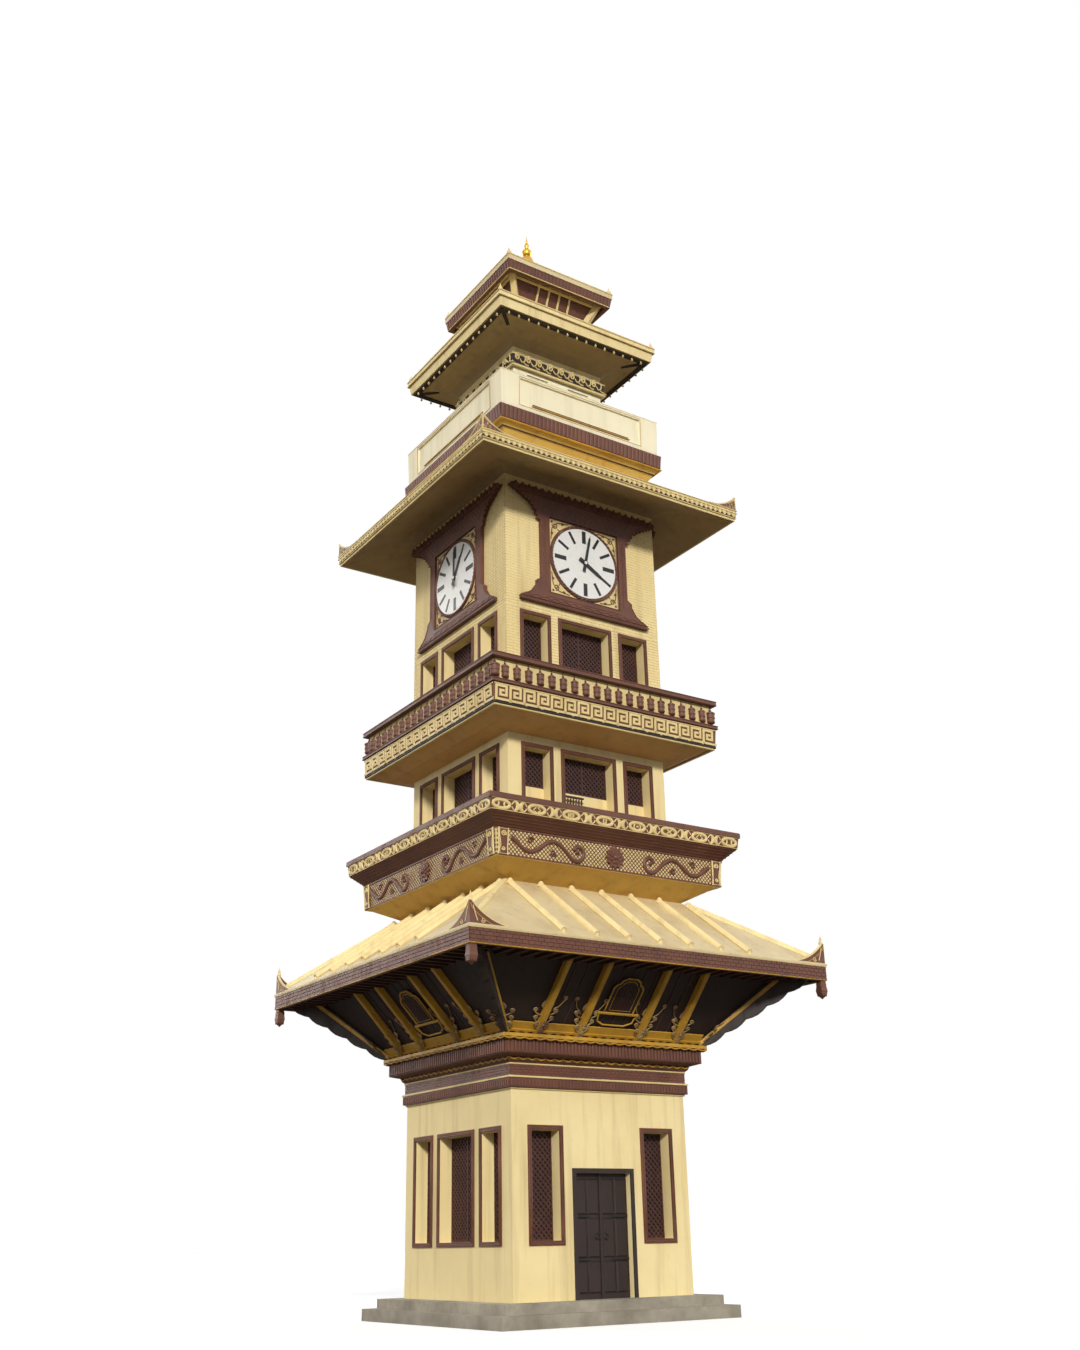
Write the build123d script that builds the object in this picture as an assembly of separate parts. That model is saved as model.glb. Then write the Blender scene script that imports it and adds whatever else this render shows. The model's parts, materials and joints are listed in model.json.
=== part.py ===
from build123d import *
import os
from math import atan2, cos, pi, sin, sqrt

# A square clock tower of brick and plaster with four roofs, built storey by storey.
# Millimetres, +Z up, origin at ground level on the tower's axis. The front faces -Y.
# Every "half" is a half-width measured from the axis to a face.

# Fits
SEAM = 0.3
RUNNING_FIT = 0.1
HAND_GAP = 6.0
COVE_STEPS = 6

# Walls
WALL_THICKNESS = 350
SHAFT_HALF = 2300
SECOND_SETBACK = 28
SECOND_HALF = SHAFT_HALF - SECOND_SETBACK
CLOCK_HALF = SHAFT_HALF
SLAB_THICKNESS = 200

# Plinth
PLINTH_REACH = 700
PLINTH_STEP_REACH = 450
PLINTH_STEP_TOP = 250
PLINTH_UPPER_STEP = 200
PLINTH_HALF = SHAFT_HALF + PLINTH_REACH
PLINTH_STEP_HALF = SHAFT_HALF + PLINTH_STEP_REACH
PLINTH_TOP = PLINTH_STEP_TOP + PLINTH_UPPER_STEP

# Windows, the same three bays on every storey and side
CENTRE_WINDOW_HALF = 800
WINDOW_PIER = 221
SIDE_WINDOW_WIDTH = 887
SIDE_WINDOW_INNER = CENTRE_WINDOW_HALF + WINDOW_PIER
SIDE_WINDOW_OUTER = SIDE_WINDOW_INNER + SIDE_WINDOW_WIDTH
FRAME_WIDTH = 90
FRAME_PROUD = 30
RECESS_DEPTH = 300
LATTICE_THICKNESS = 40
GROUND_SILL = 1050
GROUND_WINDOW_HEIGHT = 2350
GROUND_WINDOW_BOTTOM = PLINTH_TOP + GROUND_SILL
GROUND_WINDOW_TOP = GROUND_WINDOW_BOTTOM + GROUND_WINDOW_HEIGHT
DOOR_HEIGHT = 2550
DOOR_THICKNESS = 60
DOOR_TOP = PLINTH_TOP + DOOR_HEIGHT

# Lower cornice
CORNICE_RISE = 750
CORNICE_HEIGHT = 1050
CORNICE_REACH = 420
CORNICE_BOTTOM = GROUND_WINDOW_TOP + CORNICE_RISE
CORNICE_TOP = CORNICE_BOTTOM + CORNICE_HEIGHT
CORNICE_HALF = SHAFT_HALF + CORNICE_REACH

# Skirt roof
SKIRT_REACH = 2433
SKIRT_EAVE_RISE = 1330
SKIRT_FASCIA_HEIGHT = 330
SKIRT_FASCIA_THICKNESS = 110
SKIRT_EDGE_HEIGHT = 40
SKIRT_OVERHANG = 30
SKIRT_TOP_REACH = 150
SKIRT_RISE = 1630
SKIRT_THICKNESS = 120
SKIRT_SOFFIT_RISE = 60
SKIRT_SOFFIT_THICKNESS = 60
RIB_PITCH = 830
RIB_WIDTH = 60
RIB_HEIGHT = 70
RIBS_PER_SIDE = 7
HORN_LENGTH = 1080
HORN_HEIGHT = 470
HORN_THICKNESS = 90
HORN_SEGMENTS = 7
PENDANT_WIDTH = 190
PENDANT_HEIGHT = 420
SKIRT_HALF = SHAFT_HALF + SKIRT_REACH
SKIRT_TOP_HALF = SHAFT_HALF + SKIRT_TOP_REACH
SKIRT_EAVE_HALF = SKIRT_HALF + SKIRT_OVERHANG
SKIRT_FASCIA_BOTTOM = CORNICE_TOP + SKIRT_EAVE_RISE
SKIRT_FASCIA_TOP = SKIRT_FASCIA_BOTTOM + SKIRT_FASCIA_HEIGHT
SKIRT_EDGE_TOP = SKIRT_FASCIA_TOP + SKIRT_EDGE_HEIGHT
SKIRT_TOP = SKIRT_EDGE_TOP + SKIRT_RISE
SKIRT_SOFFIT_BOTTOM = SKIRT_FASCIA_BOTTOM + SKIRT_SOFFIT_RISE
SKIRT_SLOPE = SKIRT_RISE / (SKIRT_EAVE_HALF - SKIRT_TOP_HALF)

# Struts under the skirt roof
STRUT_WIDTH = 130
STRUT_DEPTH = 170
STRUT_FOOT_INSET = 30
STRUT_HEAD_INSET = 723
STRUT_PLACES = [-1850, -800, 800, 1850]
STRUT_PANEL_WIDTH = 560
STRUT_PANEL_HEIGHT = 820
STRUT_PANEL_THICKNESS = 50
STRUT_PANEL_PLACE = 0.62
CORNER_STRUT_HEAD_INSET = 283
CORNER_STRUT_SCALLOPS = 5
SCALLOP_STEPS = 4
SCALLOP_SWELL = 0.02
STRUT_FOOT_HALF = CORNICE_HALF - STRUT_FOOT_INSET
STRUT_HEAD_HALF = SKIRT_HALF - STRUT_HEAD_INSET
CORNER_STRUT_HEAD_HALF = SKIRT_HALF - CORNER_STRUT_HEAD_INSET
STRUT_BACK_FOOT = STRUT_FOOT_HALF - STRUT_DEPTH
STRUT_BACK_HEAD = STRUT_HEAD_HALF - STRUT_DEPTH

# Lower balcony
LOWER_SOFFIT_REACH = 780
LOWER_SOFFIT_RISE = 330
LATTICE_BAND_HEIGHT = 616
LATTICE_BAND_THICKNESS = 50
LATTICE_BAND_LEAN = 37
FLARED_REACH = 292
FLARED_HEIGHT = 278
CARVED_LEAN = 30
CARVED_HEIGHT = 260
CARVED_THICKNESS = 210
COPING_PROUD = 31
COPING_HEIGHT = 127
COPING_LIP = 20
LOWER_SOFFIT_HALF = SHAFT_HALF + LOWER_SOFFIT_REACH
LATTICE_BAND_FOOT_HALF = LOWER_SOFFIT_HALF + LATTICE_BAND_THICKNESS
LATTICE_BAND_HALF = LATTICE_BAND_FOOT_HALF + LATTICE_BAND_LEAN
CARVED_FOOT_HALF = LATTICE_BAND_HALF + FLARED_REACH
CARVED_TOP_HALF = CARVED_FOOT_HALF + CARVED_LEAN
COPING_HALF = CARVED_TOP_HALF + COPING_PROUD
LOWER_SOFFIT_EDGE = SKIRT_TOP + LOWER_SOFFIT_RISE
LOWER_FLOOR_TOP = LOWER_SOFFIT_EDGE + LATTICE_BAND_HEIGHT
CARVED_BOTTOM = LOWER_FLOOR_TOP + FLARED_HEIGHT
CARVED_TOP = CARVED_BOTTOM + CARVED_HEIGHT
COPING_TOP = CARVED_TOP + COPING_HEIGHT

# Second storey's windows
SECOND_SILL = 374
SECOND_LATTICE_RISE = 1100
SECOND_WINDOW_HEIGHT = 2064
SECOND_WINDOW_BOTTOM = LOWER_FLOOR_TOP + SECOND_SILL
SECOND_LATTICE_BOTTOM = SECOND_WINDOW_BOTTOM + SECOND_LATTICE_RISE
SECOND_WINDOW_TOP = SECOND_WINDOW_BOTTOM + SECOND_WINDOW_HEIGHT

# Upper balcony
UPPER_SOFFIT_RISE = 186
UPPER_SOFFIT_HEIGHT = 240
UPPER_SOFFIT_REACH = 878
UPPER_SOFFIT_FLAT = 480
UPPER_SOFFIT_FALL = 70
MEANDER_HEIGHT = 487
MEANDER_THICKNESS = 56
MEANDER_LEAN = 29
LEDGE_PROUD = 38
LEDGE_THICKNESS = 93
LEDGE_DEPTH = 290
PARAPET_SETBACK = 123
PARAPET_THICKNESS = 90
RAIL_HEIGHT = 124
RAIL_DEPTH = 230
UPPER_SOFFIT_WALL = SECOND_WINDOW_TOP + UPPER_SOFFIT_RISE
UPPER_SOFFIT_EDGE = UPPER_SOFFIT_WALL + UPPER_SOFFIT_HEIGHT
UPPER_SOFFIT_HALF = SECOND_HALF + UPPER_SOFFIT_REACH
UPPER_FLOOR_TOP = UPPER_SOFFIT_EDGE + MEANDER_HEIGHT
MEANDER_FOOT_HALF = UPPER_SOFFIT_HALF + MEANDER_THICKNESS
MEANDER_TOP_HALF = MEANDER_FOOT_HALF + MEANDER_LEAN
LEDGE_HALF = MEANDER_TOP_HALF + LEDGE_PROUD
LEDGE_TOP = UPPER_FLOOR_TOP + LEDGE_THICKNESS
PARAPET_HALF = LEDGE_HALF - PARAPET_SETBACK

# Prayer wheels of the upper parapet
WHEELS_PER_SIDE = 19
WHEEL_PITCH = 320
WHEEL_RADIUS = 92
WHEEL_HEIGHT = 528
WHEEL_SPINDLE = 24
CORNER_WHEEL_RADIUS = 112
RAIL_BOTTOM = LEDGE_TOP + WHEEL_HEIGHT
RAIL_TOP = RAIL_BOTTOM + RAIL_HEIGHT

# Clock storey's windows
CLOCK_SILL = 623
CLOCK_WINDOW_HEIGHT = 1857
CLOCK_WINDOW_BOTTOM = UPPER_FLOOR_TOP + CLOCK_SILL
CLOCK_WINDOW_TOP = CLOCK_WINDOW_BOTTOM + CLOCK_WINDOW_HEIGHT

# Clocks
DIAL_RADIUS = 955
DIAL_SEGMENTS = 40
DIAL_THICKNESS = 40
DIAL_PANEL_MARGIN = 3
DIAL_PANEL_THICKNESS = 60
ROPE_THICKNESS = 44
ROPE_SEGMENTS = 20
MARK_LENGTH = 190
MARK_WIDTH = 50
QUARTER_MARK_WIDTH = 80
MARK_INSET = 60
MARK_THICKNESS = 8
ARBOR_RADIUS = 24
HUB_RADIUS = 75
HUB_SIDES = 12
HAND_THICKNESS = 14
MINUTE_REACH = 830
MINUTE_TAIL = 240
MINUTE_WIDTH = 74
HOUR_REACH = 620
HOUR_TAIL = 190
HOUR_WIDTH = 100
ROPE_RADIUS = DIAL_RADIUS + ROPE_THICKNESS
DIAL_PANEL_HALF = ROPE_RADIUS + ROPE_THICKNESS + DIAL_PANEL_MARGIN

# Clock surrounds
SURROUND_RISE = 253
SURROUND_THICKNESS = 100
SURROUND_FOOT_REACH = 604
SURROUND_FOOT_HEIGHT = 110
SURROUND_FLARE_HEIGHT = 701
SURROUND_SILL = 364
SURROUND_POST_WIDTH = 270
CANOPY_REACH = 914
CANOPY_HEIGHT = 829
CANOPY_LEAN = 90
CANOPY_TEETH = 17
CANOPY_TOOTH = 60
CANOPY_DROP = 145
SURROUND_BOTTOM = CLOCK_WINDOW_TOP + SURROUND_RISE
SURROUND_POST_FOOT = SURROUND_BOTTOM + SURROUND_FLARE_HEIGHT
SURROUND_POST_OUTER = DIAL_PANEL_HALF + SURROUND_POST_WIDTH
SURROUND_FOOT_HALF = SURROUND_POST_OUTER + SURROUND_FOOT_REACH
DIAL_CENTRE = SURROUND_BOTTOM + SURROUND_SILL + DIAL_PANEL_HALF
CANOPY_FOOT = DIAL_CENTRE + DIAL_PANEL_HALF - CANOPY_DROP
CANOPY_TOP = CANOPY_FOOT + CANOPY_HEIGHT
CANOPY_HALF = SURROUND_POST_OUTER + CANOPY_REACH

# Big eave over the clocks
EAVE_REACH = 1559
EAVE_BOARD = 39
EAVE_RISE = 500
EAVE_DROP = 614
EAVE_EDGE_HEIGHT = 304
EAVE_LIP = 41
EAVE_NOSING = 15
EAVE_TOP_SETBACK = 225
EAVE_HEIGHT = 580
EAVE_COVE_HEIGHT = 360
EAVE_COVE_REACH = 460
LEAF_LENGTH = 900
LEAF_HEIGHT = 380
LEAF_THICKNESS = 60
EAVE_HALF = CLOCK_HALF + EAVE_REACH
EAVE_TOP_HALF = CLOCK_HALF - EAVE_TOP_SETBACK
EAVE_WALL_SOFFIT = CANOPY_TOP + EAVE_RISE
EAVE_BOTTOM = EAVE_WALL_SOFFIT - EAVE_DROP
EAVE_EDGE_TOP = EAVE_BOTTOM + EAVE_EDGE_HEIGHT
EAVE_TOP = EAVE_WALL_SOFFIT + EAVE_HEIGHT

# Terrace box over the eave
CORBEL_REACH = 405
CORBEL_HEIGHT = 610
RIBBED_THICKNESS = 45
RIBBED_LEAN = 40
RIBBED_HEIGHT = 423
TERRACE_STEP = 99
TERRACE_PROUD = 4
TERRACE_LEAN = 28
TERRACE_HEIGHT = 989
TERRACE_THICKNESS = 200
TERRACE_PANEL_MARGIN = 564
TERRACE_PANEL_INSET = 110
TERRACE_PANEL_DEPTH = 25
CORBEL_HALF = EAVE_TOP_HALF + CORBEL_REACH
CORBEL_EDGE = EAVE_TOP + CORBEL_HEIGHT
RIBBED_FOOT_HALF = CORBEL_HALF + RIBBED_THICKNESS
RIBBED_TOP_HALF = RIBBED_FOOT_HALF + RIBBED_LEAN
RIBBED_TOP = CORBEL_EDGE + RIBBED_HEIGHT
TERRACE_FLOOR_TOP = RIBBED_TOP + TERRACE_STEP
TERRACE_FOOT_HALF = CORBEL_HALF + TERRACE_PROUD
TERRACE_TOP_HALF = TERRACE_FOOT_HALF + TERRACE_LEAN
TERRACE_TOP = TERRACE_FLOOR_TOP + TERRACE_HEIGHT
TERRACE_PANEL_HALF = TERRACE_FOOT_HALF - TERRACE_PANEL_MARGIN

# Pavilion on the terrace
PAVILION_HALF = 1430
PAVILION_WALL = 200
PAVILION_SILL = 838
PAVILION_PIER_HALF = 330
PAVILION_OPENING_WIDTH = 670
PAVILION_OPENING_HEIGHT = 1100
FRINGE_THICKNESS = 90
FRINGE_RISE = 150
FRINGE_HEIGHT = 300
PAVILION_FRIEZE = 150
PAVILION_ROOF_REACH = 1121
PAVILION_ROOF_LIP = 136
PAVILION_COVE_HEIGHT = 442
PAVILION_EDGE_RISE = 258
PAVILION_EDGE_HEIGHT = 179
PAVILION_ROOF_RISE = 641
PAVILION_OPENING_OUTER = PAVILION_PIER_HALF + PAVILION_OPENING_WIDTH
PAVILION_OPENING_BOTTOM = TERRACE_FLOOR_TOP + PAVILION_SILL
PAVILION_OPENING_TOP = PAVILION_OPENING_BOTTOM + PAVILION_OPENING_HEIGHT
FRINGE_BOTTOM = PAVILION_OPENING_TOP + FRINGE_RISE
FRINGE_TOP = FRINGE_BOTTOM + FRINGE_HEIGHT
PAVILION_TOP = FRINGE_TOP + PAVILION_FRIEZE
PAVILION_ROOF_HALF = PAVILION_HALF + PAVILION_ROOF_REACH
PAVILION_ROOF_SOFFIT_HALF = PAVILION_ROOF_HALF - PAVILION_ROOF_LIP
PAVILION_ROOF_SOFFIT = PAVILION_TOP + PAVILION_COVE_HEIGHT
PAVILION_ROOF_EDGE = PAVILION_ROOF_SOFFIT + PAVILION_EDGE_RISE
PAVILION_ROOF_EDGE_TOP = PAVILION_ROOF_EDGE + PAVILION_EDGE_HEIGHT
PAVILION_ROOF_TOP = PAVILION_ROOF_EDGE_TOP + PAVILION_ROOF_RISE

# Lantern and top roof
LANTERN_SETBACK = 496
LANTERN_LEAN = 481
LANTERN_HEIGHT = 1090
LANTERN_THICKNESS = 130
TOP_CEILING_REACH = 185
TOP_CEILING_HEIGHT = 144
TOP_FASCIA_THICKNESS = 100
TOP_FASCIA_HEIGHT = 290
TOP_FASCIA_LEAN = 44
TOP_ROOF_PROUD = 20
TOP_ROOF_EDGE_HEIGHT = 189
TOP_ROOF_BREAK_INSET = 864
TOP_ROOF_BREAK_RISE = 457
TOP_ROOF_CROWN_HALF = 330
TOP_ROOF_CROWN_RISE = 750
FINIAL_HEIGHT = 1350
TIP_HALF = 70
TIP_HEIGHT = 190
LANTERN_FOOT_HALF = PAVILION_HALF - LANTERN_SETBACK
LANTERN_TOP_HALF = LANTERN_FOOT_HALF + LANTERN_LEAN
LANTERN_TOP = PAVILION_ROOF_TOP + LANTERN_HEIGHT
TOP_CEILING_HALF = LANTERN_TOP_HALF + TOP_CEILING_REACH
TOP_FASCIA_FOOT_HALF = TOP_CEILING_HALF + TOP_FASCIA_THICKNESS
TOP_FASCIA_TOP_HALF = TOP_FASCIA_FOOT_HALF + TOP_FASCIA_LEAN
TOP_ROOF_HALF = TOP_FASCIA_TOP_HALF + TOP_ROOF_PROUD
TOP_ROOF_BREAK_HALF = TOP_ROOF_HALF - TOP_ROOF_BREAK_INSET
TOP_ROOF_EDGE = LANTERN_TOP + TOP_CEILING_HEIGHT
TOP_FASCIA_BOTTOM = TOP_ROOF_EDGE - TOP_FASCIA_HEIGHT
TOP_ROOF_EDGE_TOP = TOP_ROOF_EDGE + TOP_ROOF_EDGE_HEIGHT
TOP_ROOF_BREAK = TOP_ROOF_EDGE_TOP + TOP_ROOF_BREAK_RISE
TOP_ROOF_CROWN = TOP_ROOF_BREAK + TOP_ROOF_CROWN_RISE
FINIAL_TOP = TOP_ROOF_CROWN + FINIAL_HEIGHT

SIDES = {"front": 0, "right": 90, "back": 180, "left": 270}
REST_TIMES = {"front": (4, 2), "right": (2, 26), "back": (3, 48), "left": (1, 0)}

SQUARE = [(1, 1), (-1, 1), (-1, -1), (1, -1)]


def polygon_corners(count):
    """Unit corners of a regular polygon."""
    return [(cos(2 * pi * i / count), sin(2 * pi * i / count)) for i in range(count)]


def half_polygon_corners(count):
    """Unit corners of half a regular polygon, its flat back on the X axis, bulging to -Y."""
    return [(-cos(pi * i / count), -sin(pi * i / count)) for i in range(count + 1)]


def faceted(outline, corners):
    """A closed solid that carries an outline of (half-width, z) round the given corners."""
    faces = []
    for (w0, z0), (w1, z1) in zip(outline, outline[1:]):
        for (ax, ay), (bx, by) in zip(corners, corners[1:] + corners[:1]):
            points = [(ax * w0, ay * w0, z0)]
            if w0 > 0:
                points.append((bx * w0, by * w0, z0))
            points.append((bx * w1, by * w1, z1))
            if w1 > 0:
                points.append((ax * w1, ay * w1, z1))
            faces.append(Face(Wire.make_polygon(points)))
    for w, z in (outline[0], outline[-1]):
        if w > 0:
            faces.append(Face(Wire.make_polygon([(x * w, y * w, z) for x, y in corners])))
    return Solid(Shell(faces))


def front_profile(points):
    """A face in the YZ plane from (half-width, z) points, on the tower's front side."""
    return make_face(Polyline([(0, -w, z) for w, z in points], close=True))


def front_elevation(points, half):
    """A face parallel to the front wall, from (x, z) points, at a half-width."""
    return make_face(Polyline([(x, -half, z) for x, z in points], close=True))


def cove(start, corner, end):
    """Points of a hollow curve that rounds off an inner corner."""
    points = []
    for step in range(COVE_STEPS + 1):
        t = step / COVE_STEPS
        a, b, c = (1 - t) ** 2, 2 * t * (1 - t), t**2
        points.append(tuple(a * p + b * q + c * r for p, q, r in zip(start, corner, end)))
    return points


def mitred_side(profile, reach):
    """The front quarter of a ring of the given profile, cut to mitres at its two corners."""
    bar = extrude(profile, amount=reach, dir=(1, 0, 0), both=True)
    for turn in (1, -1):
        mitre = Plane(origin=(0, -SEAM, 0), x_dir=(0, 0, 1), z_dir=(turn, 1, 0))
        bar = split(bar, bisect_by=mitre, keep=Keep.BOTTOM)
    return bar


def on_four_sides(shapes):
    """Copies of the front side's shapes on all four sides."""
    solids = []
    for angle in SIDES.values():
        for shape in shapes:
            solids += (Rot(0, 0, angle) * shape).solids()
    return solids


def ring(points):
    """Four mitred sides of the given (half-width, z) outline."""
    reach = max(w for w, z in points) + 1
    return on_four_sides([mitred_side(front_profile(points), reach)])


def block(x0, x1, half_in, half_out, z0, z1):
    """A box on the front side, between two half-widths."""
    size = (x1 - x0, half_out - half_in, z1 - z0)
    centre = ((x0 + x1) / 2, -(half_in + half_out) / 2, (z0 + z1) / 2)
    return Pos(*centre) * Box(*size)


def write(name, solids):
    """One STEP file for a node."""
    export_step(Compound(children=list(solids)), f"parts/{name}.step")


# Walls and windows

WINDOW_BAYS = [
    (-SIDE_WINDOW_OUTER, -SIDE_WINDOW_INNER),
    (-CENTRE_WINDOW_HALF, CENTRE_WINDOW_HALF),
    (SIDE_WINDOW_INNER, SIDE_WINDOW_OUTER),
]


def bay_clear(bay):
    """The clear width of a bay, inside its frame."""
    return bay[0] + FRAME_WIDTH, bay[1] - FRAME_WIDTH


def storey_wall(half, z0, z1, long_side):
    """A plain wall of one side; the long ones run over the ends of the short ones."""
    end = half if long_side else half - WALL_THICKNESS - SEAM
    return block(-end, end, half - WALL_THICKNESS, half, z0, z1)


def cut_windows(wall, half, bays, z0, lattice_z0, z1):
    """Cuts each bay as a recess, and through the wall above its sill."""
    for bay in bays:
        left, right = bay_clear(bay)
        wall -= block(left, right, half - RECESS_DEPTH, half + 1, z0 + FRAME_WIDTH, z1 - FRAME_WIDTH)
        inner = half - WALL_THICKNESS - 1
        sill = max(lattice_z0, z0 + FRAME_WIDTH)
        wall -= block(left, right, inner, half, sill, z1 - FRAME_WIDTH)
    return wall


def window_frame(half, bay, z0, z1):
    """A painted frame round one opening, let into the wall's face."""
    left, right = bay_clear(bay)
    back = half
    front = half + FRAME_PROUD
    frame = block(bay[0], bay[1], back, front, z0, z1)
    frame -= block(left, right, back - 1, front + 1, z0 + FRAME_WIDTH, z1 - FRAME_WIDTH)
    return frame


def lattice_panel(half, bay, z0, z1):
    """The board of the lattice, filling the clear opening at the back of the recess."""
    left, right = bay_clear(bay)
    front = half - RECESS_DEPTH
    back = front - LATTICE_THICKNESS
    return block(left + SEAM, right - SEAM, back, front, z0 + SEAM, z1 - SEAM)


STOREYS = {
    "ground_storey": dict(
        half=SHAFT_HALF,
        bottom=PLINTH_TOP,
        top=LOWER_FLOOR_TOP - SLAB_THICKNESS,
        window=GROUND_WINDOW_BOTTOM,
        lattice=GROUND_WINDOW_BOTTOM + FRAME_WIDTH,
        head=GROUND_WINDOW_TOP,
    ),
    "second_storey": dict(
        half=SECOND_HALF,
        bottom=LOWER_FLOOR_TOP,
        top=UPPER_FLOOR_TOP - SLAB_THICKNESS,
        window=SECOND_WINDOW_BOTTOM,
        lattice=SECOND_LATTICE_BOTTOM,
        head=SECOND_WINDOW_TOP,
    ),
    "clock_storey": dict(
        half=CLOCK_HALF,
        bottom=UPPER_FLOOR_TOP,
        top=EAVE_WALL_SOFFIT,
        window=CLOCK_WINDOW_BOTTOM,
        lattice=CLOCK_WINDOW_BOTTOM + FRAME_WIDTH,
        head=CLOCK_WINDOW_TOP,
    ),
}


def door_opening(wall):
    """Cuts the doorway through the middle bay of the front wall, down to the plinth."""
    left, right = bay_clear(WINDOW_BAYS[1])
    inner = SHAFT_HALF - WALL_THICKNESS - 1
    return wall - block(left, right, inner, SHAFT_HALF + 1, PLINTH_TOP - 1, DOOR_TOP - FRAME_WIDTH)


def make_walls():
    """Four walls a storey, with their windows cut."""
    walls = {}
    for storey, s in STOREYS.items():
        storey_solids = []
        for side, angle in SIDES.items():
            wall = storey_wall(s["half"], s["bottom"], s["top"], side in ("front", "back"))
            bays = WINDOW_BAYS
            if storey == "ground_storey" and side == "front":
                bays = [WINDOW_BAYS[0], WINDOW_BAYS[2]]
                wall = door_opening(wall)
            wall = cut_windows(wall, s["half"], bays, s["window"], s["lattice"], s["head"])
            storey_solids += (Rot(0, 0, angle) * wall).solids()
        walls[f"{storey}_walls"] = storey_solids
    return walls


def make_window_parts():
    """All frames and all lattice boards."""
    frames = []
    lattices = []
    for storey, s in STOREYS.items():
        for side, angle in SIDES.items():
            for index, bay in enumerate(WINDOW_BAYS):
                if storey == "ground_storey" and side == "front" and index == 1:
                    continue
                frame = window_frame(s["half"], bay, s["window"], s["head"])
                panel = lattice_panel(s["half"], bay, s["lattice"], s["head"] - FRAME_WIDTH)
                frames += (Rot(0, 0, angle) * frame).solids()
                lattices += (Rot(0, 0, angle) * panel).solids()
    return frames, lattices


def make_door():
    """A pair of plain leaves and their frame in the front doorway."""
    left, right = bay_clear(WINDOW_BAYS[1])
    head = DOOR_TOP - FRAME_WIDTH
    front = SHAFT_HALF - RECESS_DEPTH / 2
    back = front - DOOR_THICKNESS
    leaves = [
        block(left + SEAM, -SEAM, back, front, PLINTH_TOP + SEAM, head - SEAM),
        block(SEAM, right - SEAM, back, front, PLINTH_TOP + SEAM, head - SEAM),
    ]
    frame = block(*WINDOW_BAYS[1], SHAFT_HALF, SHAFT_HALF + FRAME_PROUD, PLINTH_TOP, DOOR_TOP)
    frame -= block(left, right, SHAFT_HALF - 1, SHAFT_HALF + FRAME_PROUD + 1, PLINTH_TOP - 1, head)
    return leaves + frame.solids()


# Plinth and lower cornice


def make_plinth():
    """Two square steps under the walls."""
    outline = [
        (PLINTH_HALF, 0),
        (PLINTH_HALF, PLINTH_STEP_TOP),
        (PLINTH_STEP_HALF, PLINTH_STEP_TOP),
        (PLINTH_STEP_HALF, PLINTH_TOP),
    ]
    return [faceted(outline, SQUARE)]


def make_lower_cornice():
    """Stacked mouldings round the shaft that carry the feet of the struts."""
    low = CORNICE_BOTTOM
    top = CORNICE_TOP
    wall = SHAFT_HALF
    outline = [
        (wall, low),
        (wall + 80, low),
        (wall + 80, low + 180),
        (wall + 40, low + 200),
        (wall + 40, low + 480),
        (wall + 110, low + 540),
        (wall + 110, low + 600),
        (CORNICE_HALF - 90, low + 660),
        (CORNICE_HALF - 90, top - 120),
        (CORNICE_HALF, top - 80),
        (CORNICE_HALF, top),
        (wall, top),
    ]
    return ring(outline)


# Skirt roof


def skirt_surface(half):
    """Height of the skirt roof's upper surface at a half-width."""
    return SKIRT_EDGE_TOP + (SKIRT_EAVE_HALF - half) * SKIRT_SLOPE


def make_skirt_roof():
    """Four sloping slabs from the wall to the eave."""
    under = SKIRT_EAVE_HALF - SKIRT_THICKNESS
    outline = [
        (SKIRT_EAVE_HALF, SKIRT_FASCIA_TOP),
        (SKIRT_EAVE_HALF, SKIRT_EDGE_TOP),
        (SKIRT_TOP_HALF, SKIRT_TOP),
        (SHAFT_HALF, SKIRT_TOP),
        (SHAFT_HALF, SKIRT_TOP - SKIRT_THICKNESS),
        (under, SKIRT_FASCIA_TOP),
    ]
    return ring(outline)


def skirt_solid():
    """The whole volume under the skirt roof's upper surface, to trim what stands on it."""
    outline = [
        (SKIRT_EAVE_HALF, SKIRT_FASCIA_TOP),
        (SKIRT_EAVE_HALF, SKIRT_EDGE_TOP),
        (SKIRT_TOP_HALF, SKIRT_TOP),
    ]
    return faceted(outline, SQUARE)


def make_roof_ribs():
    """Ribs down each slope, and a thicker one on each hip."""
    ribs = []
    for index in range(RIBS_PER_SIDE):
        x = (index - (RIBS_PER_SIDE - 1) / 2) * RIB_PITCH
        foot = SKIRT_EAVE_HALF - RIB_WIDTH
        head = max(SKIRT_TOP_HALF, abs(x)) + 3 * RIB_WIDTH
        outline = [
            (foot, skirt_surface(foot)),
            (foot, skirt_surface(foot) + RIB_HEIGHT),
            (head, skirt_surface(head) + RIB_HEIGHT),
            (head, skirt_surface(head)),
        ]
        rib = extrude(front_profile(outline), amount=RIB_WIDTH / 2, dir=(1, 0, 0), both=True)
        ribs.append(Pos(x, 0, 0) * rib)
    solids = on_four_sides(ribs)
    foot = SKIRT_HALF - HORN_THICKNESS - RIB_WIDTH
    head = SKIRT_TOP_HALF + 2 * RIB_WIDTH
    outline = [
        (foot * sqrt(2), skirt_surface(foot) - RIB_WIDTH),
        (foot * sqrt(2), skirt_surface(foot) + RIB_HEIGHT),
        (head * sqrt(2), skirt_surface(head) + RIB_HEIGHT),
        (head * sqrt(2), skirt_surface(head) - RIB_WIDTH),
    ]
    hip = extrude(front_profile(outline), amount=RIB_WIDTH, dir=(1, 0, 0), both=True)
    hip = Rot(0, 0, 45) * hip - skirt_solid()
    return solids + on_four_sides([hip])


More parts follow.
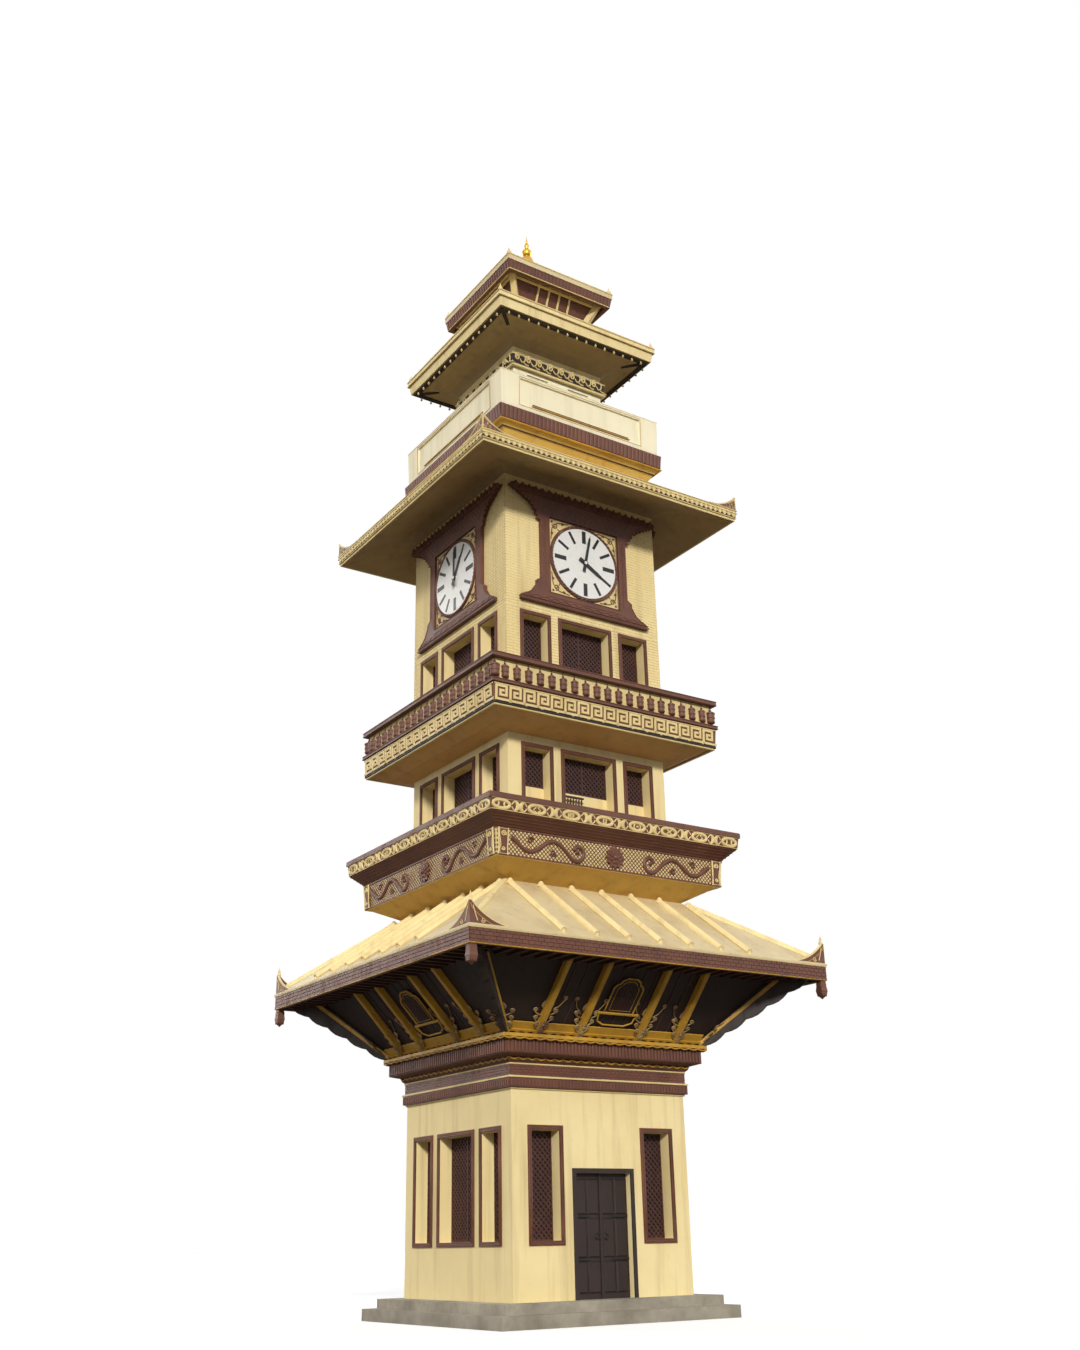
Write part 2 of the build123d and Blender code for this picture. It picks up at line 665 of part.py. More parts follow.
def make_skirt_fascia():
    """A deep board round the eave."""
    inner = SKIRT_HALF - SKIRT_FASCIA_THICKNESS
    outline = [
        (inner, SKIRT_FASCIA_BOTTOM),
        (SKIRT_HALF, SKIRT_FASCIA_BOTTOM),
        (SKIRT_HALF, SKIRT_FASCIA_TOP),
        (inner, SKIRT_FASCIA_TOP),
    ]
    return ring(outline)


def make_skirt_soffit():
    """Boards that slope up behind the struts from the cornice, then run flat to the fascia."""
    outer = SKIRT_HALF - SKIRT_FASCIA_THICKNESS
    top = SKIRT_SOFFIT_BOTTOM + SKIRT_SOFFIT_THICKNESS
    outline = [
        (STRUT_BACK_FOOT - SKIRT_SOFFIT_THICKNESS, CORNICE_TOP),
        (STRUT_BACK_FOOT, CORNICE_TOP),
        (STRUT_BACK_HEAD, SKIRT_SOFFIT_BOTTOM),
        (outer, SKIRT_SOFFIT_BOTTOM),
        (outer, top),
        (STRUT_BACK_HEAD - SKIRT_SOFFIT_THICKNESS, top),
    ]
    return ring(outline)


def horn_board(corner_half, base, length, height, thickness):
    """A board along the front eave whose top sweeps up to a point at the corner."""
    run = length - thickness / 3
    radius = (run**2 + height**2) / (2 * height)
    sweep = 2 * atan2(height, run)
    points = []
    for index in range(HORN_SEGMENTS + 1):
        turn = sweep * index / HORN_SEGMENTS
        x = corner_half - length + radius * sin(turn)
        points.append((x, -corner_half, base + radius * (1 - cos(turn))))
    points += [(corner_half, -corner_half, base + height), (corner_half, -corner_half, base)]
    return extrude(make_face(Polyline(points, close=True)), amount=thickness, dir=(0, 1, 0))


def horn_pair(corner_half, base, length, height, thickness, roof):
    """The front side's two swept boards, mitred at the corners and scribed to a roof."""
    board = horn_board(corner_half, base, length, height, thickness)
    mitre = Plane(origin=(0, -SEAM, 0), x_dir=(0, 0, 1), z_dir=(1, 1, 0))
    board = split(board, bisect_by=mitre, keep=Keep.BOTTOM)
    if roof is not None:
        board = board - roof
    return [board, mirror(board, about=Plane.YZ)]


def make_corner_horns():
    """Upturned corners of the skirt roof, scribed to its slope."""
    return on_four_sides(
        horn_pair(SKIRT_HALF, SKIRT_EDGE_TOP, HORN_LENGTH, HORN_HEIGHT, HORN_THICKNESS, skirt_solid())
    )


def make_corner_pendants():
    """A square tassel with a toothed foot under each corner of the skirt roof."""
    half = PENDANT_WIDTH / 2
    top = SKIRT_FASCIA_BOTTOM
    outline = [
        (0, top - PENDANT_HEIGHT),
        (half * 0.8, top - PENDANT_HEIGHT + half),
        (half, top - PENDANT_HEIGHT + 2 * half),
        (half * 0.8, top - half),
        (half * 0.8, top),
    ]
    place = SKIRT_HALF - half
    return on_four_sides([Pos(place, -place, 0) * faceted(outline, SQUARE)])


def soffit_solid():
    """The whole volume behind the sloping boards, to fit what stands on their hips."""
    outline = [
        (STRUT_BACK_FOOT + SEAM, CORNICE_TOP),
        (STRUT_BACK_HEAD + SEAM, SKIRT_SOFFIT_BOTTOM),
    ]
    return faceted(outline, SQUARE)


def make_roof_struts():
    """Four leaning struts a side, and a scalloped fin on each diagonal."""
    outline = [
        (STRUT_BACK_FOOT, CORNICE_TOP),
        (STRUT_FOOT_HALF, CORNICE_TOP),
        (STRUT_HEAD_HALF, SKIRT_SOFFIT_BOTTOM),
        (STRUT_BACK_HEAD, SKIRT_SOFFIT_BOTTOM),
    ]
    bar = extrude(front_profile(outline), amount=STRUT_WIDTH / 2, dir=(1, 0, 0), both=True)
    struts = on_four_sides([Pos(x, 0, 0) * bar for x in STRUT_PLACES])
    foot = Vector(0, -STRUT_FOOT_HALF * sqrt(2), CORNICE_TOP)
    head = Vector(0, -CORNER_STRUT_HEAD_HALF * sqrt(2), SKIRT_SOFFIT_BOTTOM)
    run = head - foot
    out = Vector(0, -run.Z, run.Y) * SCALLOP_SWELL
    points = [
        (0, -STRUT_BACK_HEAD * sqrt(2), SKIRT_SOFFIT_BOTTOM),
        (0, -STRUT_BACK_FOOT * sqrt(2), CORNICE_TOP),
    ]
    count = CORNER_STRUT_SCALLOPS * SCALLOP_STEPS
    for index in range(count + 1):
        swell = sin(pi * (index % SCALLOP_STEPS) / SCALLOP_STEPS)
        points.append(foot + run * (index / count) + out * swell)
    outline = make_face(Polyline(points, close=True))
    fin = extrude(outline, amount=STRUT_WIDTH / 2, dir=(1, 0, 0), both=True)
    fin = Rot(0, 0, 45) * fin - soffit_solid()
    return struts + on_four_sides([fin])


def make_strut_panels():
    """A window-shaped panel that leans between the two middle struts of each side."""
    lean = STRUT_HEAD_HALF - STRUT_FOOT_HALF
    rise = SKIRT_SOFFIT_BOTTOM - CORNICE_TOP
    length = sqrt(lean**2 + rise**2)
    up = Vector(0, -lean / length, rise / length)
    normal = Vector(0, -rise / length, -lean / length)
    middle = Vector(0, -STRUT_BACK_FOOT, CORNICE_TOP) + up * (length * STRUT_PANEL_PLACE)
    plane = Plane(origin=middle, x_dir=(1, 0, 0), z_dir=normal)
    half_w = STRUT_PANEL_WIDTH / 2
    half_h = STRUT_PANEL_HEIGHT / 2
    outline = [
        (-half_w, -half_h),
        (half_w, -half_h),
        (half_w, half_h * 0.6),
        (half_w * 0.5, half_h),
        (-half_w * 0.5, half_h),
        (-half_w, half_h * 0.6),
    ]
    panel = extrude(plane * make_face(Polyline(outline, close=True)), amount=STRUT_PANEL_THICKNESS)
    return on_four_sides([panel])


# Lower balcony


def make_lower_balcony_floor():
    """The floor slab that the second storey stands on."""
    top = LOWER_FLOOR_TOP
    outline = [(LOWER_SOFFIT_HALF, top - SLAB_THICKNESS), (LOWER_SOFFIT_HALF, top)]
    return [faceted(outline, SQUARE)]


def make_lower_balcony_soffit():
    """Splayed brackets of plaster that carry the slab's edge."""
    outline = [
        (SHAFT_HALF, SKIRT_TOP),
        (SKIRT_TOP_HALF, SKIRT_TOP),
        (LOWER_SOFFIT_HALF, LOWER_SOFFIT_EDGE),
        (LOWER_SOFFIT_HALF, LOWER_FLOOR_TOP - SLAB_THICKNESS),
        (SHAFT_HALF, LOWER_FLOOR_TOP - SLAB_THICKNESS),
    ]
    return ring(outline)


def make_lattice_band():
    """The band of lattice work on the slab's edge."""
    outline = [
        (LOWER_SOFFIT_HALF, LOWER_SOFFIT_EDGE),
        (LATTICE_BAND_FOOT_HALF, LOWER_SOFFIT_EDGE),
        (LATTICE_BAND_HALF, LOWER_FLOOR_TOP),
        (LOWER_SOFFIT_HALF, LOWER_FLOOR_TOP),
    ]
    return ring(outline)


def make_flared_board():
    """A board that leans out from the slab to the foot of the carved band."""
    outline = [
        (LATTICE_BAND_HALF - CARVED_THICKNESS, LOWER_FLOOR_TOP),
        (LATTICE_BAND_HALF, LOWER_FLOOR_TOP),
        (CARVED_FOOT_HALF, CARVED_BOTTOM),
        (CARVED_FOOT_HALF - CARVED_THICKNESS, CARVED_BOTTOM),
    ]
    return ring(outline)


def make_carved_band():
    """The parapet band that bears the carved rings."""
    outline = [
        (CARVED_FOOT_HALF - CARVED_THICKNESS, CARVED_BOTTOM),
        (CARVED_FOOT_HALF, CARVED_BOTTOM),
        (CARVED_TOP_HALF, CARVED_TOP),
        (CARVED_TOP_HALF - CARVED_THICKNESS, CARVED_TOP),
    ]
    return ring(outline)


def make_band_coping():
    """A coping on the carved band."""
    inner = CARVED_TOP_HALF - CARVED_THICKNESS - COPING_LIP
    outline = [
        (inner, CARVED_TOP),
        (COPING_HALF, CARVED_TOP),
        (COPING_HALF, COPING_TOP - COPING_LIP),
        (COPING_HALF - COPING_LIP, COPING_TOP),
        (inner, COPING_TOP),
    ]
    return ring(outline)


# Upper balcony


def make_upper_balcony_floor():
    """The floor slab that the clock storey stands on."""
    top = UPPER_FLOOR_TOP
    outline = [(UPPER_SOFFIT_HALF, top - SLAB_THICKNESS), (UPPER_SOFFIT_HALF, top)]
    return [faceted(outline, SQUARE)]


def make_upper_balcony_soffit():
    """A shallow cove under the slab's edge."""
    outline = [
        (SECOND_HALF, UPPER_SOFFIT_WALL),
        (SECOND_HALF + UPPER_SOFFIT_FLAT, UPPER_SOFFIT_WALL + UPPER_SOFFIT_FALL),
        (UPPER_SOFFIT_HALF, UPPER_SOFFIT_EDGE),
        (UPPER_SOFFIT_HALF, UPPER_FLOOR_TOP - SLAB_THICKNESS),
        (SECOND_HALF, UPPER_FLOOR_TOP - SLAB_THICKNESS),
    ]
    return ring(outline)


def make_meander_band():
    """The band of key pattern on the slab's edge."""
    outline = [
        (UPPER_SOFFIT_HALF, UPPER_SOFFIT_EDGE),
        (MEANDER_FOOT_HALF, UPPER_SOFFIT_EDGE),
        (MEANDER_TOP_HALF, UPPER_FLOOR_TOP),
        (UPPER_SOFFIT_HALF, UPPER_FLOOR_TOP),
    ]
    return ring(outline)


def make_balcony_ledge():
    """The ledge that the prayer wheels stand on."""
    outline = [
        (LEDGE_HALF - LEDGE_DEPTH, UPPER_FLOOR_TOP),
        (LEDGE_HALF, UPPER_FLOOR_TOP),
        (LEDGE_HALF, LEDGE_TOP),
        (LEDGE_HALF - LEDGE_DEPTH, LEDGE_TOP),
    ]
    return ring(outline)


def make_parapet_wall():
    """The plain wall behind the wheels."""
    outline = [
        (PARAPET_HALF - PARAPET_THICKNESS, LEDGE_TOP),
        (PARAPET_HALF, LEDGE_TOP),
        (PARAPET_HALF, RAIL_BOTTOM),
        (PARAPET_HALF - PARAPET_THICKNESS, RAIL_BOTTOM),
    ]
    return ring(outline)


def make_parapet_rail():
    """The rail over the wheels."""
    outline = [
        (LEDGE_HALF - RAIL_DEPTH, RAIL_BOTTOM),
        (LEDGE_HALF, RAIL_BOTTOM),
        (LEDGE_HALF, RAIL_TOP),
        (LEDGE_HALF - RAIL_DEPTH, RAIL_TOP),
    ]
    return ring(outline)


def wheel_outline(radius):
    """Foot, barrel and pointed cap of one prayer wheel."""
    low = LEDGE_TOP
    tall = RAIL_BOTTOM - LEDGE_TOP
    return [
        (WHEEL_SPINDLE, low),
        (radius, low + 0.14 * tall),
        (radius, low + 0.76 * tall),
        (WHEEL_SPINDLE, low + tall),
    ]


def make_prayer_wheels():
    """A row of barrels in half relief on each side, and a larger one round each corner."""
    half_barrel = faceted(wheel_outline(WHEEL_RADIUS), half_polygon_corners(3))
    row = []
    for index in range(WHEELS_PER_SIDE):
        x = (index - (WHEELS_PER_SIDE - 1) / 2) * WHEEL_PITCH
        row.append(Pos(x, -PARAPET_HALF, 0) * half_barrel)
    corner = faceted(wheel_outline(CORNER_WHEEL_RADIUS), polygon_corners(8))
    parapet = faceted([(PARAPET_HALF, LEDGE_TOP), (PARAPET_HALF, RAIL_BOTTOM)], SQUARE)
    row.append(Pos(PARAPET_HALF, -PARAPET_HALF, 0) * corner - parapet)
    return on_four_sides(row)


# Clocks

DIAL_PLANE = CLOCK_HALF + DIAL_PANEL_THICKNESS
DIAL_FRONT = DIAL_PLANE + DIAL_THICKNESS
HOUR_PLANE = DIAL_FRONT + MARK_THICKNESS + HAND_GAP
MINUTE_PLANE = HOUR_PLANE + HAND_THICKNESS + HAND_GAP
ARBOR_FRONT = MINUTE_PLANE + HAND_THICKNESS + HAND_GAP


def disc(outline, half_in, half_out):
    """A round or many-sided disc on the front dial's axis, between two half-widths."""
    centre = Plane(origin=(0, -half_in, DIAL_CENTRE), x_dir=(1, 0, 0), z_dir=(0, -1, 0))
    return extrude(centre * outline, amount=half_out - half_in)


def make_clock_surround():
    """The front clock's moulded case: flared foot, two posts and a leaning canopy."""
    lip = SURROUND_BOTTOM + SURROUND_FOOT_HEIGHT
    foot = SURROUND_FOOT_HALF
    post = SURROUND_POST_OUTER
    half = [
        (foot, SURROUND_BOTTOM),
        (foot, lip),
        (foot - 0.22 * (foot - post), lip + 40),
        (post + 0.45 * (foot - post), lip + 190),
        (post + 0.22 * (foot - post), SURROUND_POST_FOOT - 190),
        (post + 0.22 * (foot - post), SURROUND_POST_FOOT - 90),
        (post, SURROUND_POST_FOOT),
        (post, CANOPY_FOOT),
        (post + 0.12 * (CANOPY_HALF - post), CANOPY_FOOT + 240),
        (post + 0.34 * (CANOPY_HALF - post), CANOPY_FOOT + 460),
        (post + 0.66 * (CANOPY_HALF - post), CANOPY_FOOT + 620),
        (CANOPY_HALF, CANOPY_TOP - CANOPY_TOOTH),
    ]
    tooth = 2 * CANOPY_HALF / CANOPY_TEETH
    teeth = [(CANOPY_HALF - (i + 0.5) * tooth, CANOPY_TOP) for i in range(CANOPY_TEETH)]
    valleys = [(CANOPY_HALF - (i + 1) * tooth, CANOPY_TOP - CANOPY_TOOTH) for i in range(CANOPY_TEETH - 1)]
    crest = [teeth[0]]
    for valley, peak in zip(valleys, teeth[1:]):
        crest += [valley, peak]
    outline = half + crest + [(-x, z) for x, z in reversed(half)]
    reach = SURROUND_THICKNESS + CANOPY_LEAN
    blank = extrude(front_elevation(outline, CLOCK_HALF), amount=reach, dir=(0, -1, 0))
    side = [
        (CLOCK_HALF, SURROUND_BOTTOM - 1),
        (CLOCK_HALF + SURROUND_THICKNESS, SURROUND_BOTTOM - 1),
        (CLOCK_HALF + SURROUND_THICKNESS, CANOPY_FOOT),
        (CLOCK_HALF + reach, CANOPY_TOP + 1),
        (CLOCK_HALF, CANOPY_TOP + 1),
    ]
    lean = extrude(front_profile(side), amount=foot + CANOPY_HALF, dir=(1, 0, 0), both=True)
    case = blank & lean
    half = DIAL_PANEL_HALF + SEAM
    return case - block(
        -half, half, CLOCK_HALF - 1, CLOCK_HALF + reach + 1, DIAL_CENTRE - half, DIAL_CENTRE + half
    )


def make_dial():
    """The white dial with the arbor that its hands turn on."""
    arbor = disc(Circle(ARBOR_RADIUS), DIAL_FRONT, ARBOR_FRONT)
    boss = disc(RegularPolygon(HUB_RADIUS, HUB_SIDES), DIAL_FRONT, HOUR_PLANE - SEAM)
    cap = disc(RegularPolygon(ARBOR_RADIUS * 1.7, HUB_SIDES), ARBOR_FRONT, ARBOR_FRONT + HAND_THICKNESS)
    return disc(RegularPolygon(DIAL_RADIUS, DIAL_SEGMENTS), DIAL_PLANE, DIAL_FRONT) + boss + arbor + cap


def make_rope_ring():
    """A ring of round section about the dial, in straight lengths."""
    corners = polygon_corners(ROPE_SEGMENTS)
    depth = ROPE_THICKNESS
    outer = ROPE_RADIUS + ROPE_THICKNESS
    inner = (DIAL_RADIUS + SEAM) / cos(pi / ROPE_SEGMENTS)
    tube = [(inner, 0), (ROPE_RADIUS - 0.4 * depth, depth), (ROPE_RADIUS + 0.4 * depth, depth), (outer, 0)]
    faces = []
    for (w0, z0), (w1, z1) in zip(tube, tube[1:] + tube[:1]):
        for (ax, ay), (bx, by) in zip(corners, corners[1:] + corners[:1]):
            points = [
                (ax * w0, -z0, ay * w0),
                (bx * w0, -z0, by * w0),
                (bx * w1, -z1, by * w1),
                (ax * w1, -z1, ay * w1),
            ]
            faces.append(Face(Wire.make_polygon(points)))
    return Pos(0, -DIAL_PLANE, DIAL_CENTRE) * Solid(Shell(faces))


def make_marks():
    """Twelve bars round the dial, the four quarters wider."""
    marks = []
    for hour in range(12):
        width = QUARTER_MARK_WIDTH if hour % 3 == 0 else MARK_WIDTH
        radius = DIAL_RADIUS - MARK_INSET - MARK_LENGTH / 2
        bar = Pos(0, -(DIAL_FRONT + MARK_THICKNESS / 2), radius) * Box(width, MARK_THICKNESS, MARK_LENGTH)
        marks.append(Pos(0, 0, DIAL_CENTRE) * (Rot(0, 30 * hour, 0) * bar))
    return marks


def make_hand(plane, reach, tail, width, angle):
    """A tapered hand with a tail, bored to turn on the arbor."""
    outline = [
        (-width * 0.28, -tail),
        (width * 0.28, -tail),
        (width * 0.5, reach * 0.72),
        (0, reach),
        (-width * 0.5, reach * 0.72),
    ]
    points = [(x, -plane, z) for x, z in outline]
    blade = extrude(make_face(Polyline(points, close=True)), amount=HAND_THICKNESS, dir=(0, -1, 0))
    blade = Rot(0, angle, 0) * blade
    hub = disc(RegularPolygon(HUB_RADIUS, HUB_SIDES), plane, plane + HAND_THICKNESS + HAND_GAP - SEAM)
    hand = Pos(0, 0, DIAL_CENTRE) * blade + hub
    bore = Circle(ARBOR_RADIUS + RUNNING_FIT)
    return hand - disc(bore, plane - 1, plane + HAND_THICKNESS + HAND_GAP + 1)


def make_hands():
    """A minute hand and an hour hand for each side, set to that side's time."""
    hands = {}
    for side, (hour, minute) in REST_TIMES.items():
        turn = Rot(0, 0, SIDES[side])
        minute_angle = 6 * minute
        hour_angle = 30 * hour + 0.5 * minute
        long = make_hand(MINUTE_PLANE, MINUTE_REACH, MINUTE_TAIL, MINUTE_WIDTH, minute_angle)
        short = make_hand(HOUR_PLANE, HOUR_REACH, HOUR_TAIL, HOUR_WIDTH, hour_angle)
        hands[f"{side}_minute_hand"] = (turn * long).solids()
        hands[f"{side}_hour_hand"] = (turn * short).solids()
    return hands


# Big eave and terrace


def make_eave_roof():
    """The wide roof over the clocks, with its sloping underside."""
    board = EAVE_HALF - EAVE_BOARD
    inner = CLOCK_HALF - WALL_THICKNESS
    board_foot = EAVE_BOTTOM + EAVE_NOSING
    slope = (board_foot - EAVE_WALL_SOFFIT) / (board - CLOCK_HALF)
    outline = [
        (inner, EAVE_WALL_SOFFIT),
        (CLOCK_HALF, EAVE_WALL_SOFFIT),
        *cove(
            (CLOCK_HALF, EAVE_WALL_SOFFIT - EAVE_COVE_HEIGHT),
            (CLOCK_HALF, EAVE_WALL_SOFFIT),
            (CLOCK_HALF + EAVE_COVE_REACH, EAVE_WALL_SOFFIT + slope * EAVE_COVE_REACH),
        ),
        (board, board_foot),
        (board, EAVE_EDGE_TOP),
        (EAVE_TOP_HALF, EAVE_TOP),
        (inner, EAVE_TOP),
    ]
    return ring(outline)


def make_eave_moulding():
    """The moulded edge of the big eave."""
    board = EAVE_HALF - EAVE_BOARD
    outline = [
        (board, EAVE_BOTTOM + EAVE_NOSING),
        (EAVE_HALF, EAVE_BOTTOM),
        (EAVE_HALF, EAVE_BOTTOM + 90),
        (EAVE_HALF + EAVE_LIP, EAVE_BOTTOM + 200),
        (EAVE_HALF + EAVE_LIP, EAVE_EDGE_TOP),
        (board, EAVE_EDGE_TOP),
    ]
    return ring(outline)


def make_eave_leaves():
    """Leaf boards that sweep up at the corners of the big eave."""
    corner = EAVE_HALF + EAVE_LIP
    return on_four_sides(
        horn_pair(corner, EAVE_EDGE_TOP, LEAF_LENGTH, LEAF_HEIGHT, LEAF_THICKNESS, None)
    )


def make_terrace_corbel():
    """The splayed base of the terrace box."""
    inner = CLOCK_HALF - WALL_THICKNESS
    under = TERRACE_FLOOR_TOP - SLAB_THICKNESS
    outline = [
        (inner, EAVE_TOP),
        (EAVE_TOP_HALF, EAVE_TOP),
        (CORBEL_HALF, CORBEL_EDGE),
        (CORBEL_HALF, under),
        (inner, under),
    ]
    return ring(outline)


def make_ribbed_band():
    """The dark band round the foot of the terrace box."""
    outline = [
        (CORBEL_HALF, CORBEL_EDGE),
        (RIBBED_FOOT_HALF, CORBEL_EDGE + 16),
        (RIBBED_TOP_HALF, RIBBED_TOP),
        (CORBEL_HALF, RIBBED_TOP),
    ]
    return ring(outline)


def make_terrace_floor():
    """The terrace's floor slab."""
    outline = [(CORBEL_HALF, TERRACE_FLOOR_TOP - SLAB_THICKNESS), (CORBEL_HALF, TERRACE_FLOOR_TOP)]
    return [faceted(outline, SQUARE)]


def make_terrace_parapet():
    """The pale parapet, with a sunk panel on each side."""
    inner = TERRACE_FOOT_HALF - TERRACE_THICKNESS
    outline = [
        (inner, TERRACE_FLOOR_TOP),
        (TERRACE_FOOT_HALF, TERRACE_FLOOR_TOP),
        (TERRACE_TOP_HALF, TERRACE_TOP),
        (inner, TERRACE_TOP),
    ]
    side = mitred_side(front_profile(outline), TERRACE_TOP_HALF + 1)
    side -= block(
        -TERRACE_PANEL_HALF,
        TERRACE_PANEL_HALF,
        TERRACE_FOOT_HALF - TERRACE_PANEL_DEPTH,
        TERRACE_TOP_HALF + 1,
        TERRACE_FLOOR_TOP + TERRACE_PANEL_INSET,
        TERRACE_TOP - TERRACE_PANEL_INSET,
    )
    return on_four_sides([side])


# Pavilion


def make_pavilion_walls():
    """Four walls with a pair of openings each."""
    solids = []
    for side, angle in SIDES.items():
        end = PAVILION_HALF if side in ("front", "back") else PAVILION_HALF - PAVILION_WALL - SEAM
        inner = PAVILION_HALF - PAVILION_WALL
        wall = block(-end, end, inner, PAVILION_HALF, TERRACE_FLOOR_TOP, PAVILION_TOP)
        for sign in (-1, 1):
            x0, x1 = sorted((sign * PAVILION_PIER_HALF, sign * PAVILION_OPENING_OUTER))
            z0, z1 = PAVILION_OPENING_BOTTOM, PAVILION_OPENING_TOP
            wall -= block(x0, x1, inner - 1, PAVILION_HALF + 1, z0, z1)
        solids += (Rot(0, 0, angle) * wall).solids()
    return solids


def make_fringe_beam():
    """The carved beam round the head of the pavilion."""
    outline = [
        (PAVILION_HALF, FRINGE_BOTTOM),
        (PAVILION_HALF + FRINGE_THICKNESS * 0.6, FRINGE_BOTTOM),
        (PAVILION_HALF + FRINGE_THICKNESS, FRINGE_TOP),
        (PAVILION_HALF, FRINGE_TOP),
    ]
    return ring(outline)


def make_pavilion_roof():
    """The pavilion's roof, with its coved underside."""
    inner = PAVILION_HALF - PAVILION_WALL
    soffit = PAVILION_ROOF_SOFFIT_HALF
    wall_head = (PAVILION_HALF, PAVILION_TOP)
    corner = (PAVILION_HALF, PAVILION_ROOF_SOFFIT)
    outline = [
        (inner, PAVILION_TOP),
        *cove(wall_head, corner, (soffit, PAVILION_ROOF_SOFFIT)),
        (soffit + 60, PAVILION_ROOF_SOFFIT),
        (PAVILION_ROOF_HALF - 40, PAVILION_ROOF_EDGE),
        (PAVILION_ROOF_HALF, PAVILION_ROOF_EDGE),
        (PAVILION_ROOF_HALF, PAVILION_ROOF_EDGE_TOP),
        (LANTERN_FOOT_HALF, PAVILION_ROOF_TOP),
        (LANTERN_FOOT_HALF - LANTERN_THICKNESS, PAVILION_ROOF_TOP),
    ]
    return ring(outline)


# Lantern, top roof and finial


def make_lantern():
    """Four walls that lean outwards under the top roof."""
    outline = [
        (LANTERN_FOOT_HALF - LANTERN_THICKNESS, PAVILION_ROOF_TOP),
        (LANTERN_FOOT_HALF, PAVILION_ROOF_TOP),
        (LANTERN_TOP_HALF, LANTERN_TOP),
        (LANTERN_TOP_HALF - LANTERN_THICKNESS, LANTERN_TOP),
    ]
    return ring(outline)


def make_top_roof():
    """Ceiling, eave and the two pitches of the top roof."""
    outline = [
        (TOP_CEILING_HALF, LANTERN_TOP),
        (TOP_CEILING_HALF, TOP_ROOF_EDGE),
        (TOP_ROOF_HALF, TOP_ROOF_EDGE),
        (TOP_ROOF_HALF, TOP_ROOF_EDGE_TOP),
        (TOP_ROOF_BREAK_HALF, TOP_ROOF_BREAK),
        (TOP_ROOF_CROWN_HALF, TOP_ROOF_CROWN),
    ]
    return [faceted(outline, SQUARE)]


def make_top_fascia():
    """The board under the top roof's edge."""
    outline = [
        (TOP_CEILING_HALF, TOP_FASCIA_BOTTOM),
        (TOP_FASCIA_FOOT_HALF, TOP_FASCIA_BOTTOM),
        (TOP_FASCIA_TOP_HALF, TOP_ROOF_EDGE),
        (TOP_CEILING_HALF, TOP_ROOF_EDGE),
    ]
    return ring(outline)


def make_finial():
    """A turned bell-and-spire finial."""
    low = TOP_ROOF_CROWN
    tall = FINIAL_TOP - low
    base = TOP_ROOF_CROWN_HALF
    outline = [
        (base, low),
        (base, low + 0.06 * tall),
        (base * 0.75, low + 0.1 * tall),
        (base * 0.62, low + 0.3 * tall),
        (base * 0.3, low + 0.42 * tall),
        (base * 0.42, low + 0.5 * tall),
        (base * 0.42, low + 0.56 * tall),
        (base * 0.16, low + 0.64 * tall),
        (base * 0.22, low + 0.72 * tall),
        (base * 0.08, low + 0.8 * tall),
        (0, FINIAL_TOP),
    ]
    return [faceted(outline, polygon_corners(12))]


def make_roof_tips():
    """Small upturned points on the corners of the two upper roofs."""
    pavilion = [
        (PAVILION_ROOF_HALF, PAVILION_ROOF_EDGE),
        (PAVILION_ROOF_HALF, PAVILION_ROOF_EDGE_TOP),
        (LANTERN_FOOT_HALF, PAVILION_ROOF_TOP),
    ]
    top = [
        (TOP_ROOF_HALF, TOP_ROOF_EDGE),
        (TOP_ROOF_HALF, TOP_ROOF_EDGE_TOP),
        (TOP_ROOF_BREAK_HALF, TOP_ROOF_BREAK),
    ]
    tips = []
    for roof in (pavilion, top):
        half, base = roof[1]
        outline = [(TIP_HALF, base), (TIP_HALF, base + 0.4 * TIP_HEIGHT), (0, base + TIP_HEIGHT)]
        place = half - TIP_HALF
        tip = Pos(place, -place, 0) * faceted(outline, SQUARE)
        tips.append(tip - faceted(roof, SQUARE))
    return on_four_sides(tips)


# Write every node

